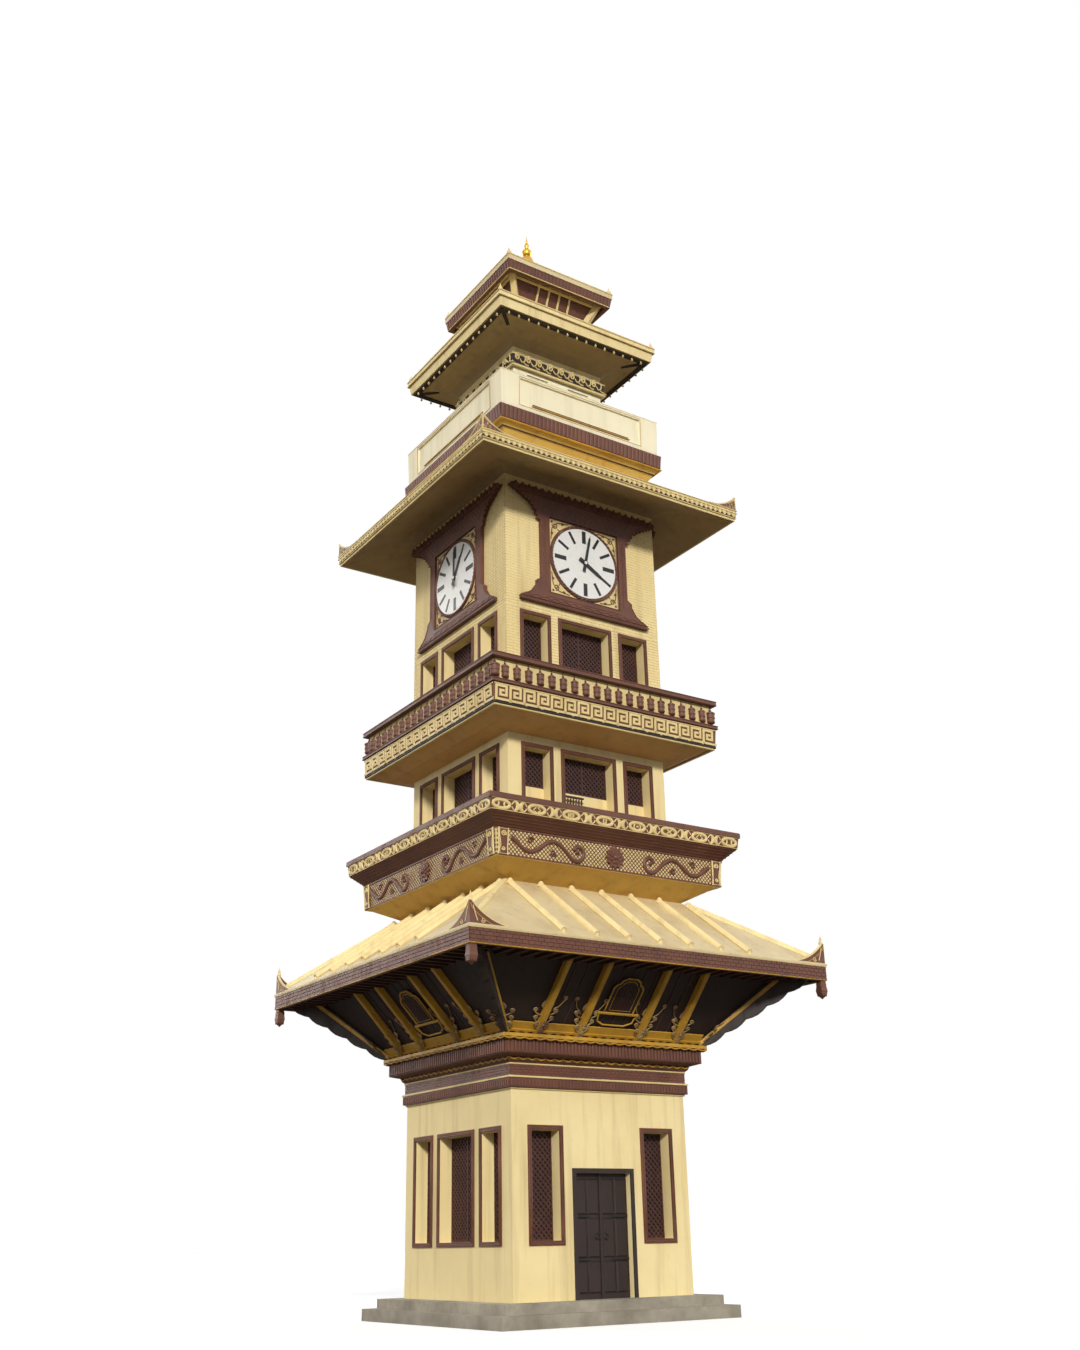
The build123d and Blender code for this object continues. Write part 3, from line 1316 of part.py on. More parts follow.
os.makedirs("parts", exist_ok=True)
frames, lattices = make_window_parts()
nodes = {
    "plinth": make_plinth(),
    "ground_door": make_door(),
    "lower_cornice": make_lower_cornice(),
    "skirt_roof": make_skirt_roof(),
    "roof_ribs": make_roof_ribs(),
    "skirt_fascia": make_skirt_fascia(),
    "corner_horns": make_corner_horns(),
    "corner_pendants": make_corner_pendants(),
    "roof_struts": make_roof_struts(),
    "strut_panels": make_strut_panels(),
    "skirt_soffit": make_skirt_soffit(),
    "lower_balcony_floor": make_lower_balcony_floor(),
    "lower_balcony_soffit": make_lower_balcony_soffit(),
    "lattice_band": make_lattice_band(),
    "flared_board": make_flared_board(),
    "carved_band": make_carved_band(),
    "band_coping": make_band_coping(),
    "window_frames": frames,
    "lattice_panels": lattices,
    "upper_balcony_floor": make_upper_balcony_floor(),
    "upper_balcony_soffit": make_upper_balcony_soffit(),
    "meander_band": make_meander_band(),
    "balcony_ledge": make_balcony_ledge(),
    "parapet_wall": make_parapet_wall(),
    "prayer_wheels": make_prayer_wheels(),
    "parapet_rail": make_parapet_rail(),
    "clock_surrounds": on_four_sides([make_clock_surround()]),
    "dial_panels": on_four_sides(
        [
            block(
                -DIAL_PANEL_HALF,
                DIAL_PANEL_HALF,
                CLOCK_HALF,
                DIAL_PLANE,
                DIAL_CENTRE - DIAL_PANEL_HALF,
                DIAL_CENTRE + DIAL_PANEL_HALF,
            )
        ]
    ),
    "dials": on_four_sides([make_dial()]),
    "rope_rings": on_four_sides([make_rope_ring()]),
    "hour_marks": on_four_sides(make_marks()),
    "eave_roof": make_eave_roof(),
    "eave_moulding": make_eave_moulding(),
    "eave_leaves": make_eave_leaves(),
    "terrace_corbel": make_terrace_corbel(),
    "ribbed_band": make_ribbed_band(),
    "terrace_floor": make_terrace_floor(),
    "terrace_parapet": make_terrace_parapet(),
    "pavilion_walls": make_pavilion_walls(),
    "fringe_beam": make_fringe_beam(),
    "pavilion_roof": make_pavilion_roof(),
    "lantern": make_lantern(),
    "top_roof": make_top_roof(),
    "top_fascia": make_top_fascia(),
    "finial": make_finial(),
    "roof_tips": make_roof_tips(),
}
nodes.update(make_hands())
nodes.update(make_walls())
for node, solids in nodes.items():
    write(node, solids)
print(len(nodes), "nodes")
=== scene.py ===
"""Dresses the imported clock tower: brickwork, carved bands, lattices, wheels, clocks and roofs."""

import json
from math import atan2, ceil, cos, hypot, pi, radians, sin, sqrt

import bpy
from mathutils import Matrix, Vector


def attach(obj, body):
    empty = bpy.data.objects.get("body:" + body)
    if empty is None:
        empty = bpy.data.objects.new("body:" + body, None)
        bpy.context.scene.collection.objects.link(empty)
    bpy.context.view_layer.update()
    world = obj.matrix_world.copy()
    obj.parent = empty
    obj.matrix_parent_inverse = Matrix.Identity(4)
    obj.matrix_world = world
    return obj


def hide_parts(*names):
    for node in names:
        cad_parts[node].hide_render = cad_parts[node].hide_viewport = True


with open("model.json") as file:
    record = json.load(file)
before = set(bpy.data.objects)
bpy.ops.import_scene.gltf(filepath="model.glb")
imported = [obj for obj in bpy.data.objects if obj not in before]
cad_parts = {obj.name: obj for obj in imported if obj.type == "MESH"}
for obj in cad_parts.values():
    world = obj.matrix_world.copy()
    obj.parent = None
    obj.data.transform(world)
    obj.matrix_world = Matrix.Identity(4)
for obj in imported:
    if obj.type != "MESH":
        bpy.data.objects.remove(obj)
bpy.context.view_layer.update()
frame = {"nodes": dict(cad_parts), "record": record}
nodes = frame["nodes"]


# Workshop helpers

QUARTER = pi / 2
# Edges that turn by more than this are eased
SHARP = radians(32)
# How far past the corner plane a drawing may reach before it is mitred
MITRE_SLACK = 0.0005


def deselect():
    bpy.ops.object.select_all(action="DESELECT")


def only(*objs):
    """Selects these objects alone, the first of them active."""
    deselect()
    for obj in objs:
        obj.select_set(True)
    bpy.context.view_layer.objects.active = objs[0]


def edit(obj):
    """Opens a shape in edit mode with all of it selected."""
    only(obj)
    bpy.ops.object.mode_set(mode="EDIT")
    bpy.ops.mesh.select_all(action="SELECT")


def end_edit(obj):
    bpy.ops.object.mode_set(mode="OBJECT")
    return obj


def settle(obj):
    """Applies place, turn and size, so that the shape's place is in its mesh."""
    only(obj)
    bpy.ops.object.transform_apply(location=True, rotation=True, scale=True)
    return obj


def modified(obj, kind, **values):
    """Adds a modifier with these values and applies it."""
    only(obj)
    mod = obj.modifiers.new(kind, kind)
    for name, value in values.items():
        setattr(mod, name, value)
    bpy.ops.object.modifier_apply(modifier=mod.name)
    return obj


def eased(obj, width):
    """Bevels the sharp edges of a shape, if there is a width."""
    if width:
        modified(obj, "BEVEL", width=width, segments=1, limit_method="ANGLE", angle_limit=SHARP)
    return obj


def row(obj, count, step):
    """Repeats a shape in a straight row."""
    steps = {"use_constant_offset": True, "constant_offset_displace": step}
    return modified(obj, "ARRAY", count=count, use_relative_offset=False, **steps)


def at(x=0, y=0, z=0):
    return Matrix.Translation((x, y, z))


def scale(x=1, y=1, z=1):
    return Matrix.Diagonal((x, y, z, 1))


def spun(angle):
    return Matrix.Rotation(angle, 4, "Z")


ALL_SIDES = [spun(q * QUARTER) for q in range(4)]


def place(obj, matrix):
    obj.data.transform(matrix)
    return obj


def moved(obj, x=0, y=0, z=0):
    return place(obj, at(x, y, z))


def centred_row(obj, count, pitch, y=0, z=0):
    """A straight row of a shape, centred on the middle line."""
    return moved(row(obj, count, (pitch, 0, 0)), -pitch * (count - 1) / 2, y, z)


def copied(obj, matrix):
    """A copy of a shape with its own mesh, moved by a matrix."""
    twin = obj.copy()
    twin.data = obj.data.copy()
    twin.data.transform(matrix)
    bpy.context.scene.collection.objects.link(twin)
    if matrix.determinant() < 0:
        twin.data.flip_normals()
    return twin


def joined(*objs):
    """One object from several."""
    if len(objs) > 1:
        only(*objs)
        bpy.ops.object.join()
    return objs[0]


def spread(obj, places):
    """The shape repeated at each matrix and joined; the pattern itself goes."""
    twins = [copied(obj, p) for p in places]
    bpy.data.objects.remove(obj)
    return joined(*twins)


def four_sides(*objs):
    """The front side's shapes, joined, on all four sides."""
    return spread(joined(*objs), ALL_SIDES)


def mirrored_pair(*objs):
    """The shapes, joined, and their mirror image across the front's middle line."""
    return spread(joined(*objs), [scale(), scale(-1)])


def symmetric(points):
    """An outline from its left half, which may end on the middle line."""
    return points + [(-x, y) for x, y in reversed(points) if x]


def bar(x0, x1, y0, y1, z0, z1, bevel=0):
    """A squared bar between two corners, with its edges eased."""
    deselect()
    centre = ((x0 + x1) / 2, (y0 + y1) / 2, (z0 + z1) / 2)
    size = (abs(x1 - x0), abs(y1 - y0), abs(z1 - z0))
    bpy.ops.mesh.primitive_cube_add(size=1, location=centre, scale=size)
    return eased(settle(bpy.context.object), bevel)


def rail(reach, y0, y1, z0, z1, bevel=0):
    """A bar that reaches as far to the left as to the right."""
    return bar(-reach, reach, y0, y1, z0, z1, bevel)


def trimmed(obj, point, normal, fill=True):
    """Cuts a shape along a plane and drops what lies on the normal's side."""
    edit(obj)
    bpy.ops.mesh.bisect(plane_co=point, plane_no=normal, use_fill=fill, clear_outer=True)
    return end_edit(obj)


def trimmed_box(obj, x0, x1, y0, y1, fill=True):
    """Cuts a flat drawing to a rectangle."""
    for x, y, across, up in ((x1, 0, 1, 0), (x0, 0, -1, 0), (0, y1, 0, 1), (0, y0, 0, -1)):
        trimmed(obj, (x, y, 0), (across, up, 0), fill)
    return obj


def tube(points, radius, closed=False, smooth=False, sides=0, flat=1, taper=None):
    """A round moulding that follows points; flat squeezes its height on a flat drawing."""
    data = bpy.data.curves.new("line", "CURVE")
    data.dimensions = "3D"
    data.bevel_depth = radius
    data.bevel_resolution = sides
    data.resolution_u = 4
    data.use_fill_caps = True
    spline = data.splines.new("NURBS" if smooth else "POLY")
    spline.points.add(len(points) - 1)
    for index, (point, p) in enumerate(zip(spline.points, points)):
        point.co = (p[0], p[1], p[2] if len(p) > 2 else 0, 1)
        if taper:
            point.radius = taper(index / (len(points) - 1))
    spline.use_cyclic_u = closed
    if smooth:
        spline.order_u = 4
        spline.use_endpoint_u = not closed
    obj = bpy.data.objects.new("line", data)
    bpy.context.scene.collection.objects.link(obj)
    only(obj)
    bpy.ops.object.convert(target="MESH")
    return place(bpy.context.object, scale(z=flat))


def cutout(points, thickness, bevel=0):
    """A flat board of the given outline on the XY plane, its face at z = thickness."""
    obj = tube(points, 0, closed=True)
    edit(obj)
    bpy.ops.mesh.edge_face_add()
    bpy.ops.mesh.extrude_region_move(TRANSFORM_OT_translate={"value": (0, 0, thickness)})
    bpy.ops.mesh.select_all(action="SELECT")
    bpy.ops.mesh.normals_make_consistent(inside=False)
    return eased(end_edit(obj), bevel)


def turned_profile(profile, steps, angle=2 * pi):
    """A shape spun about the Z axis from (radius, z) points, foot to top."""
    obj = tube([(r, 0, z) for r, z in profile], 0)
    edit(obj)
    bpy.ops.mesh.spin(steps=steps, angle=angle, center=(0, 0, 0), axis=(0, 0, 1))
    bpy.ops.mesh.select_all(action="SELECT")
    bpy.ops.mesh.remove_doubles(threshold=0.0002)
    bpy.ops.mesh.normals_make_consistent(inside=False)
    return end_edit(obj)


def front_face(half, z, half_top=None, z_top=None):
    """Lays a flat drawing (x across, y up, z outwards) on the front, at a half-width and height."""
    up = Vector((0, 0, 1))
    if half_top is not None:
        up = Vector((0, half - half_top, z_top - z)).normalized()
    across = Vector((1, 0, 0))
    matrix = Matrix((across, up, across.cross(up))).transposed().to_4x4()
    matrix.translation = (0, -half, z)
    return matrix


def slant(half, z, half_top, z_top):
    """Length of a leaning face from its foot to its head."""
    return hypot(half_top - half, z_top - z)


def hung(obj, *face):
    """Puts a flat drawing on all four sides, mitred where it reaches the corners."""
    place(obj, front_face(*face))
    for side in (1, -1):
        if any(side * vertex.co.x + vertex.co.y > MITRE_SLACK for vertex in obj.data.vertices):
            trimmed(obj, (0, 0, 0), (side, 1, 0))
    return four_sides(obj)


def complete(obj, name, finish, body="root", replaces=(), smooth=None):
    """Names a finished piece, gives it its finish and lets it ride its body."""
    obj.name = name
    obj.data.name = name
    obj.data.materials.clear()
    obj.data.materials.append(finish)
    if smooth:
        only(obj)
        bpy.ops.object.shade_smooth_by_angle(angle=radians(smooth))
    if replaces:
        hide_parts(*replaces)
    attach(obj, body)


def hang(name, finish, face, *drawings, **more):
    """Joins flat drawings, hangs them on all four sides and completes them."""
    complete(hung(joined(*drawings), *face), name, finish, **more)


# Finishes


def linear(rgb):
    """Scene-linear colour from a display colour."""
    return tuple(c / 12.92 if c <= 0.04045 else ((c + 0.055) / 1.055) ** 2.4 for c in rgb) + (1,)


def new_node(tree, kind, inputs, output=0, **settings):
    """Adds a shader node, sets or links its inputs, and gives one of its outputs."""
    node = tree.nodes.new("ShaderNode" + kind)
    for name, value in settings.items():
        setattr(node, name, value)
    for socket, value in inputs.items():
        if hasattr(value, "links"):
            tree.links.new(value, node.inputs[socket])
        else:
            node.inputs[socket].default_value = value
    return node.outputs[output]


class Finish:
    """A node material put together step by step. Colours are display colours."""

    def __init__(self, name, colour, roughness=0.5, metallic=0):
        self.tone = colour
        self.material = bpy.data.materials.new(name)
        self.material.use_nodes = True
        self.tree = self.material.node_tree
        self.shader = self.tree.nodes["Principled BSDF"]
        self.shader.inputs["Roughness"].default_value = roughness
        self.shader.inputs["Metallic"].default_value = metallic
        self.coords = self.node("TexCoord", {}, "Object")

    def node(self, kind, inputs, output=0, **settings):
        return new_node(self.tree, kind, inputs, output, **settings)

    def shade(self, socket, value):
        """Links a value to a socket of the shader."""
        self.tree.links.new(value, self.shader.inputs[socket])

    def noise(self, fineness, detail=3, rough=0.55, stretch=None):
        """Cloudy noise, its coordinates stretched by a scale per axis."""
        vector = self.coords
        if stretch:
            vector = self.node("Mapping", {"Vector": vector, "Scale": stretch})
        inputs = {"Scale": fineness, "Detail": detail, "Roughness": rough, "Vector": vector}
        return self.node("TexNoise", inputs, "Fac")

    def band(self, value, low, high, to_low=0, to_high=1):
        """Spreads the part of a value between low and high over a new range."""
        ends = {"From Min": low, "From Max": high, "To Min": to_low, "To Max": to_high}
        return self.node("MapRange", {"Value": value, **ends}, "Result")

    def patches(self, low, high, *noise):
        """Noise with the part between low and high spread from none to full."""
        return self.band(self.noise(*noise), low, high)

    def times(self, a, b):
        return self.node("Math", {0: a, 1: b}, "Value", operation="MULTIPLY", use_clamp=True)

    def mix(self, share, a, b):
        a, b = (linear(tone) if isinstance(tone, tuple) else tone for tone in (a, b))
        return self.node("Mix", {0: share, 6: a, 7: b}, 2, data_type="RGBA")

    def cover(self, colour, strength, share):
        """Lays a colour over the tone where the share is high."""
        self.tone = self.mix(self.times(share, strength), self.tone, colour)
        return share

    def done(self, wear, smooth, rough, grain, strength, distance):
        """Sets the roughness by the wear, and the fine unevenness that catches the light."""
        self.shade("Base Color", self.tone)
        self.shade("Roughness", self.band(wear, 0, 1, smooth, rough))
        inputs = {"Strength": strength, "Distance": distance, "Height": grain}
        self.shade("Normal", self.node("Bump", inputs, "Normal"))
        return self.material


def plaster_paint(name, colour, dirt, light, streak):
    """Paint on plaster: patchy tone, rain streaks from above, and a rolled grain."""
    f = Finish(name, colour)
    patches = f.cover(light, 1, f.patches(0.38, 0.66, 0.55, 5, 0.6))
    f.cover(dirt, streak, f.patches(0.5, 0.74, 1, 4, 0.6, (3.4, 3.4, 0.22)))
    f.cover(dirt, 0.3 * streak, f.patches(0.6, 0.78, 7, 4, 0.65))
    return f.done(patches, 0.65, 0.82, f.noise(24, 6, 0.6), 0.5, 0.004)


def gloss_paint(name, colour, worn, dust, rough=0.5):
    """Gloss paint on carved work: dulled patches, pale dust and small scuffs to the ground coat."""
    f = Finish(name, colour)
    f.cover(worn, 1, f.patches(0.36, 0.68, 1.3, 5, 0.65))
    dusty = f.cover(dust, 0.35, f.patches(0.5, 0.76, 4.5, 5, 0.6, (1, 1, 0.5)))
    f.cover(dust, 0.5, f.patches(0.68, 0.74, 16, 5, 0.7))
    return f.done(dusty, rough, rough + 0.25, f.noise(38, 5, 0.6), 0.4, 0.003)


def sheet_roof(name, colour, wash, grime):
    """Painted roof panels: streaked with rain down the slope, darker where water stands."""
    f = Finish(name, colour)
    f.cover(wash, 1, f.patches(0.4, 0.66, 0.8, 5, 0.6))
    runs = f.cover(grime, 0.32, f.patches(0.52, 0.8, 1, 5, 0.65, (4, 4, 0.5)))
    return f.done(runs, 0.5, 0.8, f.noise(11, 5, 0.6), 0.35, 0.006)


def cast_stone(name, colour, stain):
    """Bare concrete with pores and stains that rise from the ground."""
    f = Finish(name, colour)
    patches = f.cover(stain, 1, f.patches(0.35, 0.7, 1.1, 6, 0.65))
    height = f.node("SeparateXYZ", {"Vector": f.coords}, "Z")
    f.cover(stain, f.noise(3, 5), f.band(height, 0, 0.5, 0.55, 0))
    return f.done(patches, 0.9, 0.9, f.noise(45, 7, 0.7), 0.7, 0.006)


def enamel(name, colour, dust, rough):
    """Baked enamel on sheet metal with a little dust."""
    f = Finish(name, colour)
    specks = f.cover(dust, 0.35, f.patches(0.52, 0.8, 9, 6, 0.65))
    return f.done(specks, rough, rough + 0.25, f.noise(60), 0.15, 0.001)


def gilt_metal(name, gold, brown):
    """Gilded metal, browned in patches."""
    f = Finish(name, gold, metallic=1)
    browned = f.cover(brown, 0.7, f.patches(0.45, 0.75, 3.5, 6, 0.65))
    return f.done(browned, 0.25, 0.55, f.noise(30, 4), 0.25, 0.002)


CREAM = plaster_paint("cream_brick_paint", (0.9, 0.82, 0.6), (0.62, 0.52, 0.34), (0.93, 0.86, 0.65), 0.4)
JOINT = plaster_paint("brick_joint_paint", (0.84, 0.75, 0.53), (0.6, 0.5, 0.33), (0.87, 0.79, 0.57), 0.4)
PALE = plaster_paint("pale_parapet_paint", (0.91, 0.88, 0.76), (0.66, 0.61, 0.48), (0.94, 0.91, 0.8), 0.3)
OCHRE = plaster_paint("ochre_soffit_paint", (0.78, 0.62, 0.29), (0.48, 0.35, 0.17), (0.82, 0.68, 0.36), 0.35)
# Soffit undersides: tan paint darkened as painted shade under the eave, and cream warmed and darkened as
# painted shade under the balcony
SHADED_SOFFIT = plaster_paint("eave_soffit_tan_and_painted_shade", (0.64, 0.53, 0.36), (0.43, 0.35, 0.24), (0.69, 0.59, 0.41), 0.3)
SHADED_BALCONY_SOFFIT = plaster_paint("balcony_soffit_painted_shade", (0.82, 0.64, 0.4), (0.54, 0.41, 0.26), (0.85, 0.69, 0.45), 0.3)
MAROON = gloss_paint("maroon_gloss_paint", (0.405, 0.24, 0.175), (0.34, 0.195, 0.145), (0.5, 0.36, 0.28))
TIMBER = gloss_paint("dark_timber_paint", (0.15, 0.09, 0.075), (0.12, 0.07, 0.06), (0.24, 0.17, 0.14), 0.6)
BROWN = gloss_paint("brown_ground_paint", (0.42, 0.27, 0.16), (0.36, 0.22, 0.13), (0.55, 0.42, 0.28), 0.6)
LATH = gloss_paint("lattice_paint", (0.27, 0.145, 0.13), (0.22, 0.12, 0.11), (0.4, 0.28, 0.24), 0.55)
TRIM = gloss_paint("cream_trim_paint", (0.88, 0.8, 0.58), (0.82, 0.73, 0.5), (0.62, 0.52, 0.37), 0.55)
# A darker cream, used on the carvings under the skirt roof
DARKER_TRIM = gloss_paint("darker_trim_paint", (0.66, 0.56, 0.36), (0.42, 0.3, 0.22), (0.3, 0.2, 0.16), 0.6)
MUSTARD = gloss_paint("mustard_line_paint", (0.78, 0.6, 0.2), (0.66, 0.49, 0.16), (0.5, 0.39, 0.2), 0.45)
ROOF = sheet_roof("roof_panel_paint", (0.84, 0.77, 0.61), (0.77, 0.69, 0.53), (0.54, 0.49, 0.39))
CONCRETE = cast_stone("plinth_concrete", (0.68, 0.65, 0.59), (0.48, 0.45, 0.4))
DIAL = enamel("dial_white_enamel", (0.88, 0.88, 0.87), (0.72, 0.71, 0.68), 0.28)
BLACK = enamel("black_enamel_paint", (0.07, 0.07, 0.075), (0.2, 0.19, 0.18), 0.35)
GILT = gilt_metal("gilded_metal", (0.88, 0.68, 0.27), (0.45, 0.3, 0.12))

# The finishes of each slot, the usual one of its solids first
SLOTS = {
    "cream_plaster": [CREAM],
    "pale_plaster": [PALE],
    "maroon_paint": [MAROON],
    "ochre_plaster": [OCHRE, MUSTARD],
    "roof_sheet": [ROOF],
    "dark_timber": [TIMBER, LATH],
    "cream_paint": [TRIM, DARKER_TRIM],
    "concrete": [CONCRETE],
    "dial_white": [DIAL],
    "black_enamel": [BLACK],
    "gilt": [GILT],
}


def finish_node(name, *finishes):
    """Gives a carried-over solid its finishes, and gives its faces."""
    data = nodes[name].data
    data.materials.clear()
    for finish in finishes:
        data.materials.append(finish)
    return data.polygons


for part in frame["record"]["subparts"]:
    finish_node(part["node"], SLOTS[part["material_slot"]][0])
finish_node("roof_ribs", CREAM)
finish_node("lattice_band", TRIM)
finish_node("meander_band", BROWN)
finish_node("fringe_beam", TIMBER)
# Faces that look downward take the darker soffit colour, which is painted shade under the eave, the pavilion
# roof and the balcony
UNDERSIDES = {"eave_roof": SHADED_SOFFIT, "pavilion_roof": SHADED_SOFFIT, "upper_balcony_soffit": SHADED_BALCONY_SOFFIT}
DOWNWARD = -0.2
for name, underside in UNDERSIDES.items():
    for face in finish_node(name, CREAM, underside):
        face.material_index = int(face.normal.z < DOWNWARD)
# Joint paint on the shaft's outer faces, where the bricks stand
SHAFT = 2.3
for face in finish_node("clock_storey_walls", CREAM, JOINT):
    face.material_index = int(max(abs(face.center.x), abs(face.center.y)) > SHAFT - 0.001)
# Dark struts along the hips
HIP_REACH = 0.3
for face in finish_node("roof_struts", MUSTARD, TIMBER):
    face.material_index = int(abs(abs(face.center.x) - abs(face.center.y)) < HIP_REACH)


# Patterns drawn flat: x across, y up, z outwards


def raised(x0, x1, y0, y1, proud, slope=0.004):
    """A raised tile whose edges slope in, open at the back."""
    deselect()
    bpy.ops.mesh.primitive_plane_add(size=1, location=((x0 + x1) / 2, (y0 + y1) / 2, 0))
    obj = bpy.context.object
    obj.scale = (x1 - x0, y1 - y0, 1)
    edit(settle(obj))
    bpy.ops.mesh.inset(thickness=slope, depth=proud)
    return end_edit(obj)


def bond(x0, x1, y0, y1, length, rise, joint, proud):
    """Courses of bricks in running bond over a rectangle."""
    brick = raised(0, length - joint, 0, rise - joint, proud)
    columns = ceil((x1 - x0) / length) + 2
    rows = ceil((y1 - y0) / (2 * rise)) + 1
    row(brick, columns, (length, 0, 0))
    other = copied(brick, at(-length / 2, rise))
    field = row(joined(brick, other), rows, (0, 2 * rise, 0))
    moved(field, (x0 + x1) / 2 - length * ((columns - 1) // 2), y0)
    return trimmed_box(field, x0, x1, y0, y1, fill=False)


def lattice(x0, x1, y0, y1, pitch, width, thick):
    """Flat bars laid both ways on the diagonal over a rectangle."""
    tall = y1 - y0
    step = pitch * sqrt(2)
    strip = place(rail(width / 2, -0.72 * tall - width, 0.72 * tall + width, 0, thick), spun(pi / 4))
    middle = (x0 + x1) / 2
    moved(centred_row(strip, ceil((x1 - x0 + tall) / step) + 1, step), middle, (y0 + y1) / 2)
    other = copied(strip, at(2 * middle) @ scale(-1, 1, 0.7))
    return trimmed_box(joined(strip, other), x0, x1, y0, y1)


def spiral(cx, cy, r0, r1, start, turns, steps=12):
    """Points of a curl that runs from one radius to another."""
    points = []
    for i in range(steps + 1):
        t = i / steps
        a = radians(start) + t * turns * 2 * pi
        r = r0 + (r1 - r0) * t
        points.append((cx + r * cos(a), cy + r * sin(a)))
    return points


def curl(cx, cy, r0, r1, start, turns, radius, **more):
    """A round moulding along a spiral."""
    return tube(spiral(cx, cy, r0, r1, start, turns), radius, **more)


def arc(cx, cy, rx, ry, start, end, steps):
    """Points along part of an ellipse."""
    angles = [radians(start + (end - start) * i / steps) for i in range(steps + 1)]
    return [(cx + rx * cos(a), cy + ry * sin(a)) for a in angles]


def roll(reach, radius, sides=0):
    """A round moulding across the front."""
    return tube([(-reach, 0), (reach, 0)], radius, sides=sides)


def dome(x, y, radius, rise, steps=12):
    """A round boss with a stepped rim."""
    rim = [(1, 0), (1, 0.3), (0.7, 0.45), (0.62, 0.75), (0.3, 1), (0, 1)]
    return moved(turned_profile([(r * radius, z * rise) for r, z in rim], steps), x, y)


def beaded_frame(x0, x1, y0, y1, radius, flat=0.7):
    """A thin moulding round a rectangle."""
    return tube([(x0, y0), (x1, y0), (x1, y1), (x0, y1)], radius, closed=True, flat=flat)


def string_of(pearl, count, step, x, y):
    """A straight string of copies of a pearl."""
    return moved(row(copied(pearl, at()), count, step), x, y)


# Windows and door

BAYS = ((-1.908, -1.021), (-0.8, 0.8), (1.021, 1.908))
# Half-width of the walls, foot and head of the windows, foot of their lattices
STOREYS = ((SHAFT, 1.5, 3.85, 1.59), (2.272, 10.3, 12.364, 11.4), (SHAFT, 13.9, 15.757, 13.99))
DOOR_PLACE = (1.5, -0.8)
LATTICE_DEPTH = -0.338
FRAME_PROUD = 0.03
FRAME = 0.09
CASING = 0.035


def in_windows(drawing, depth, latticed=True):
    """Draws a piece for every window or its latticed part, but not where the door stands."""
    pieces = []
    for half, foot, head, low in STOREYS:
        for x0, x1 in BAYS:
            one = drawing(x0, x1, low if latticed else foot, head)
            sides = ALL_SIDES[1:] if (foot, x0) == DOOR_PLACE else ALL_SIDES
            pieces.append(spread(place(one, front_face(half + depth, 0)), sides))
    return joined(*pieces)


def window_lattice(x0, x1, low, head):
    """An open lattice of crossed laths in a thin casing."""
    left, right, top = x0 + FRAME, x1 - FRAME, head - FRAME
    laths = lattice(left + 0.02, right - 0.02, low + 0.02, top - 0.02, 0.088, 0.034, 0.034)
    rails = [bar(left, right, y, y + CASING, -0.004, 0.04) for y in (low, top - CASING)]
    for x in (left, right - CASING):
        rails.append(bar(x, x + CASING, low + CASING, top - CASING, -0.004, 0.04))
    if right - left > 1:
        rails.append(rail(0.02, low + CASING, top - CASING, 0, 0.042))
    return joined(laths, *rails)


def window_shade_board(x0, x1, low, head):
    """A thin dark board behind the lattice, painted shade in place of the dark room behind."""
    return bar(x0 + FRAME, x1 - FRAME, low, head - FRAME, -0.0018, -0.0004)


def window_beads():
    """A bead outside, a step inside and pearls between on each window's frame."""
    pearl = raised(-0.015, 0.015, -0.015, 0.015, 0.009, 0.007)
    pitch = 0.056

    def bead(x0, x1, foot, head):
        parts = [beaded_frame(x0 + d, x1 - d, foot + d, head - d, 0.012, 1) for d in (0.02, 0.078)]
        tall, wide = (round((size - 0.12) / pitch) for size in (head - foot, x1 - x0))
        for x in (x0 + 0.046, x1 - 0.046):
            parts.append(string_of(pearl, tall, (0, pitch, 0), x, foot + 0.08))
        for y in (foot + 0.046, head - 0.046):
            parts.append(string_of(pearl, wide, (pitch, 0, 0), x0 + 0.08, y))
        return joined(*parts)

    beads = in_windows(bead, FRAME_PROUD, latticed=False)
    complete(beads, "window_frame_beads", MAROON)
    bpy.data.objects.remove(pearl)


def window_pickets():
    """Turned pickets at the foot of the second storey's middle windows."""
    foot = [(0.012, 0), (0.02, 0.03), (0.012, 0.06)]
    profile = foot + [(0.024, 0.3), (0.012, 0.52), (0.02, 0.56), (0.012, 0.6)]
    pickets = row(place(turned_profile(profile, 6), scale(z=1.45)), 8, (0.078, 0, 0))
    hand_rail = bar(-0.03, 0.6, -0.025, 0.025, 0.86, 0.9)
    pickets = moved(joined(pickets, hand_rail), -0.66, -2.1, 10.4)
    complete(four_sides(pickets), "window_pickets", LATH, smooth=50)


def door_dress():
    """Raised panels, a meeting stile, hinges' straps and ring pulls on the door."""
    front = front_face(2.15, 0.45)
    panels = []
    for x0, x1 in ((0.05, 0.34), (0.38, 0.67)):
        for y0, y1 in ((0.12, 0.72), (0.8, 1.56), (1.64, 2.34)):
            panels.append(raised(x0, x1, y0, y1, 0.022, 0.02))
            panels.append(beaded_frame(x0 - 0.008, x1 + 0.008, y0 - 0.008, y1 + 0.008, 0.009))
    panels = mirrored_pair(*panels)
    complete(place(joined(panels, rail(0.03, 0, 2.44, 0, 0.03, 0.006)), front), "door_panels", TIMBER)
    pull = moved(tube(arc(0.11, 1.2, 0.055, 0.055, 0, 340, 16), 0.008, closed=True), z=0.045)
    straps = [bar(0.3, 0.7, y, y + 0.05, 0.018, 0.03, 0.004) for y in (0.74, 1.58)]
    fittings = mirrored_pair(pull, dome(0.11, 1.26, 0.03, 0.05, 10), *straps)
    complete(place(fittings, front), "door_hardware", BLACK)


# Lower cornice and skirt roof

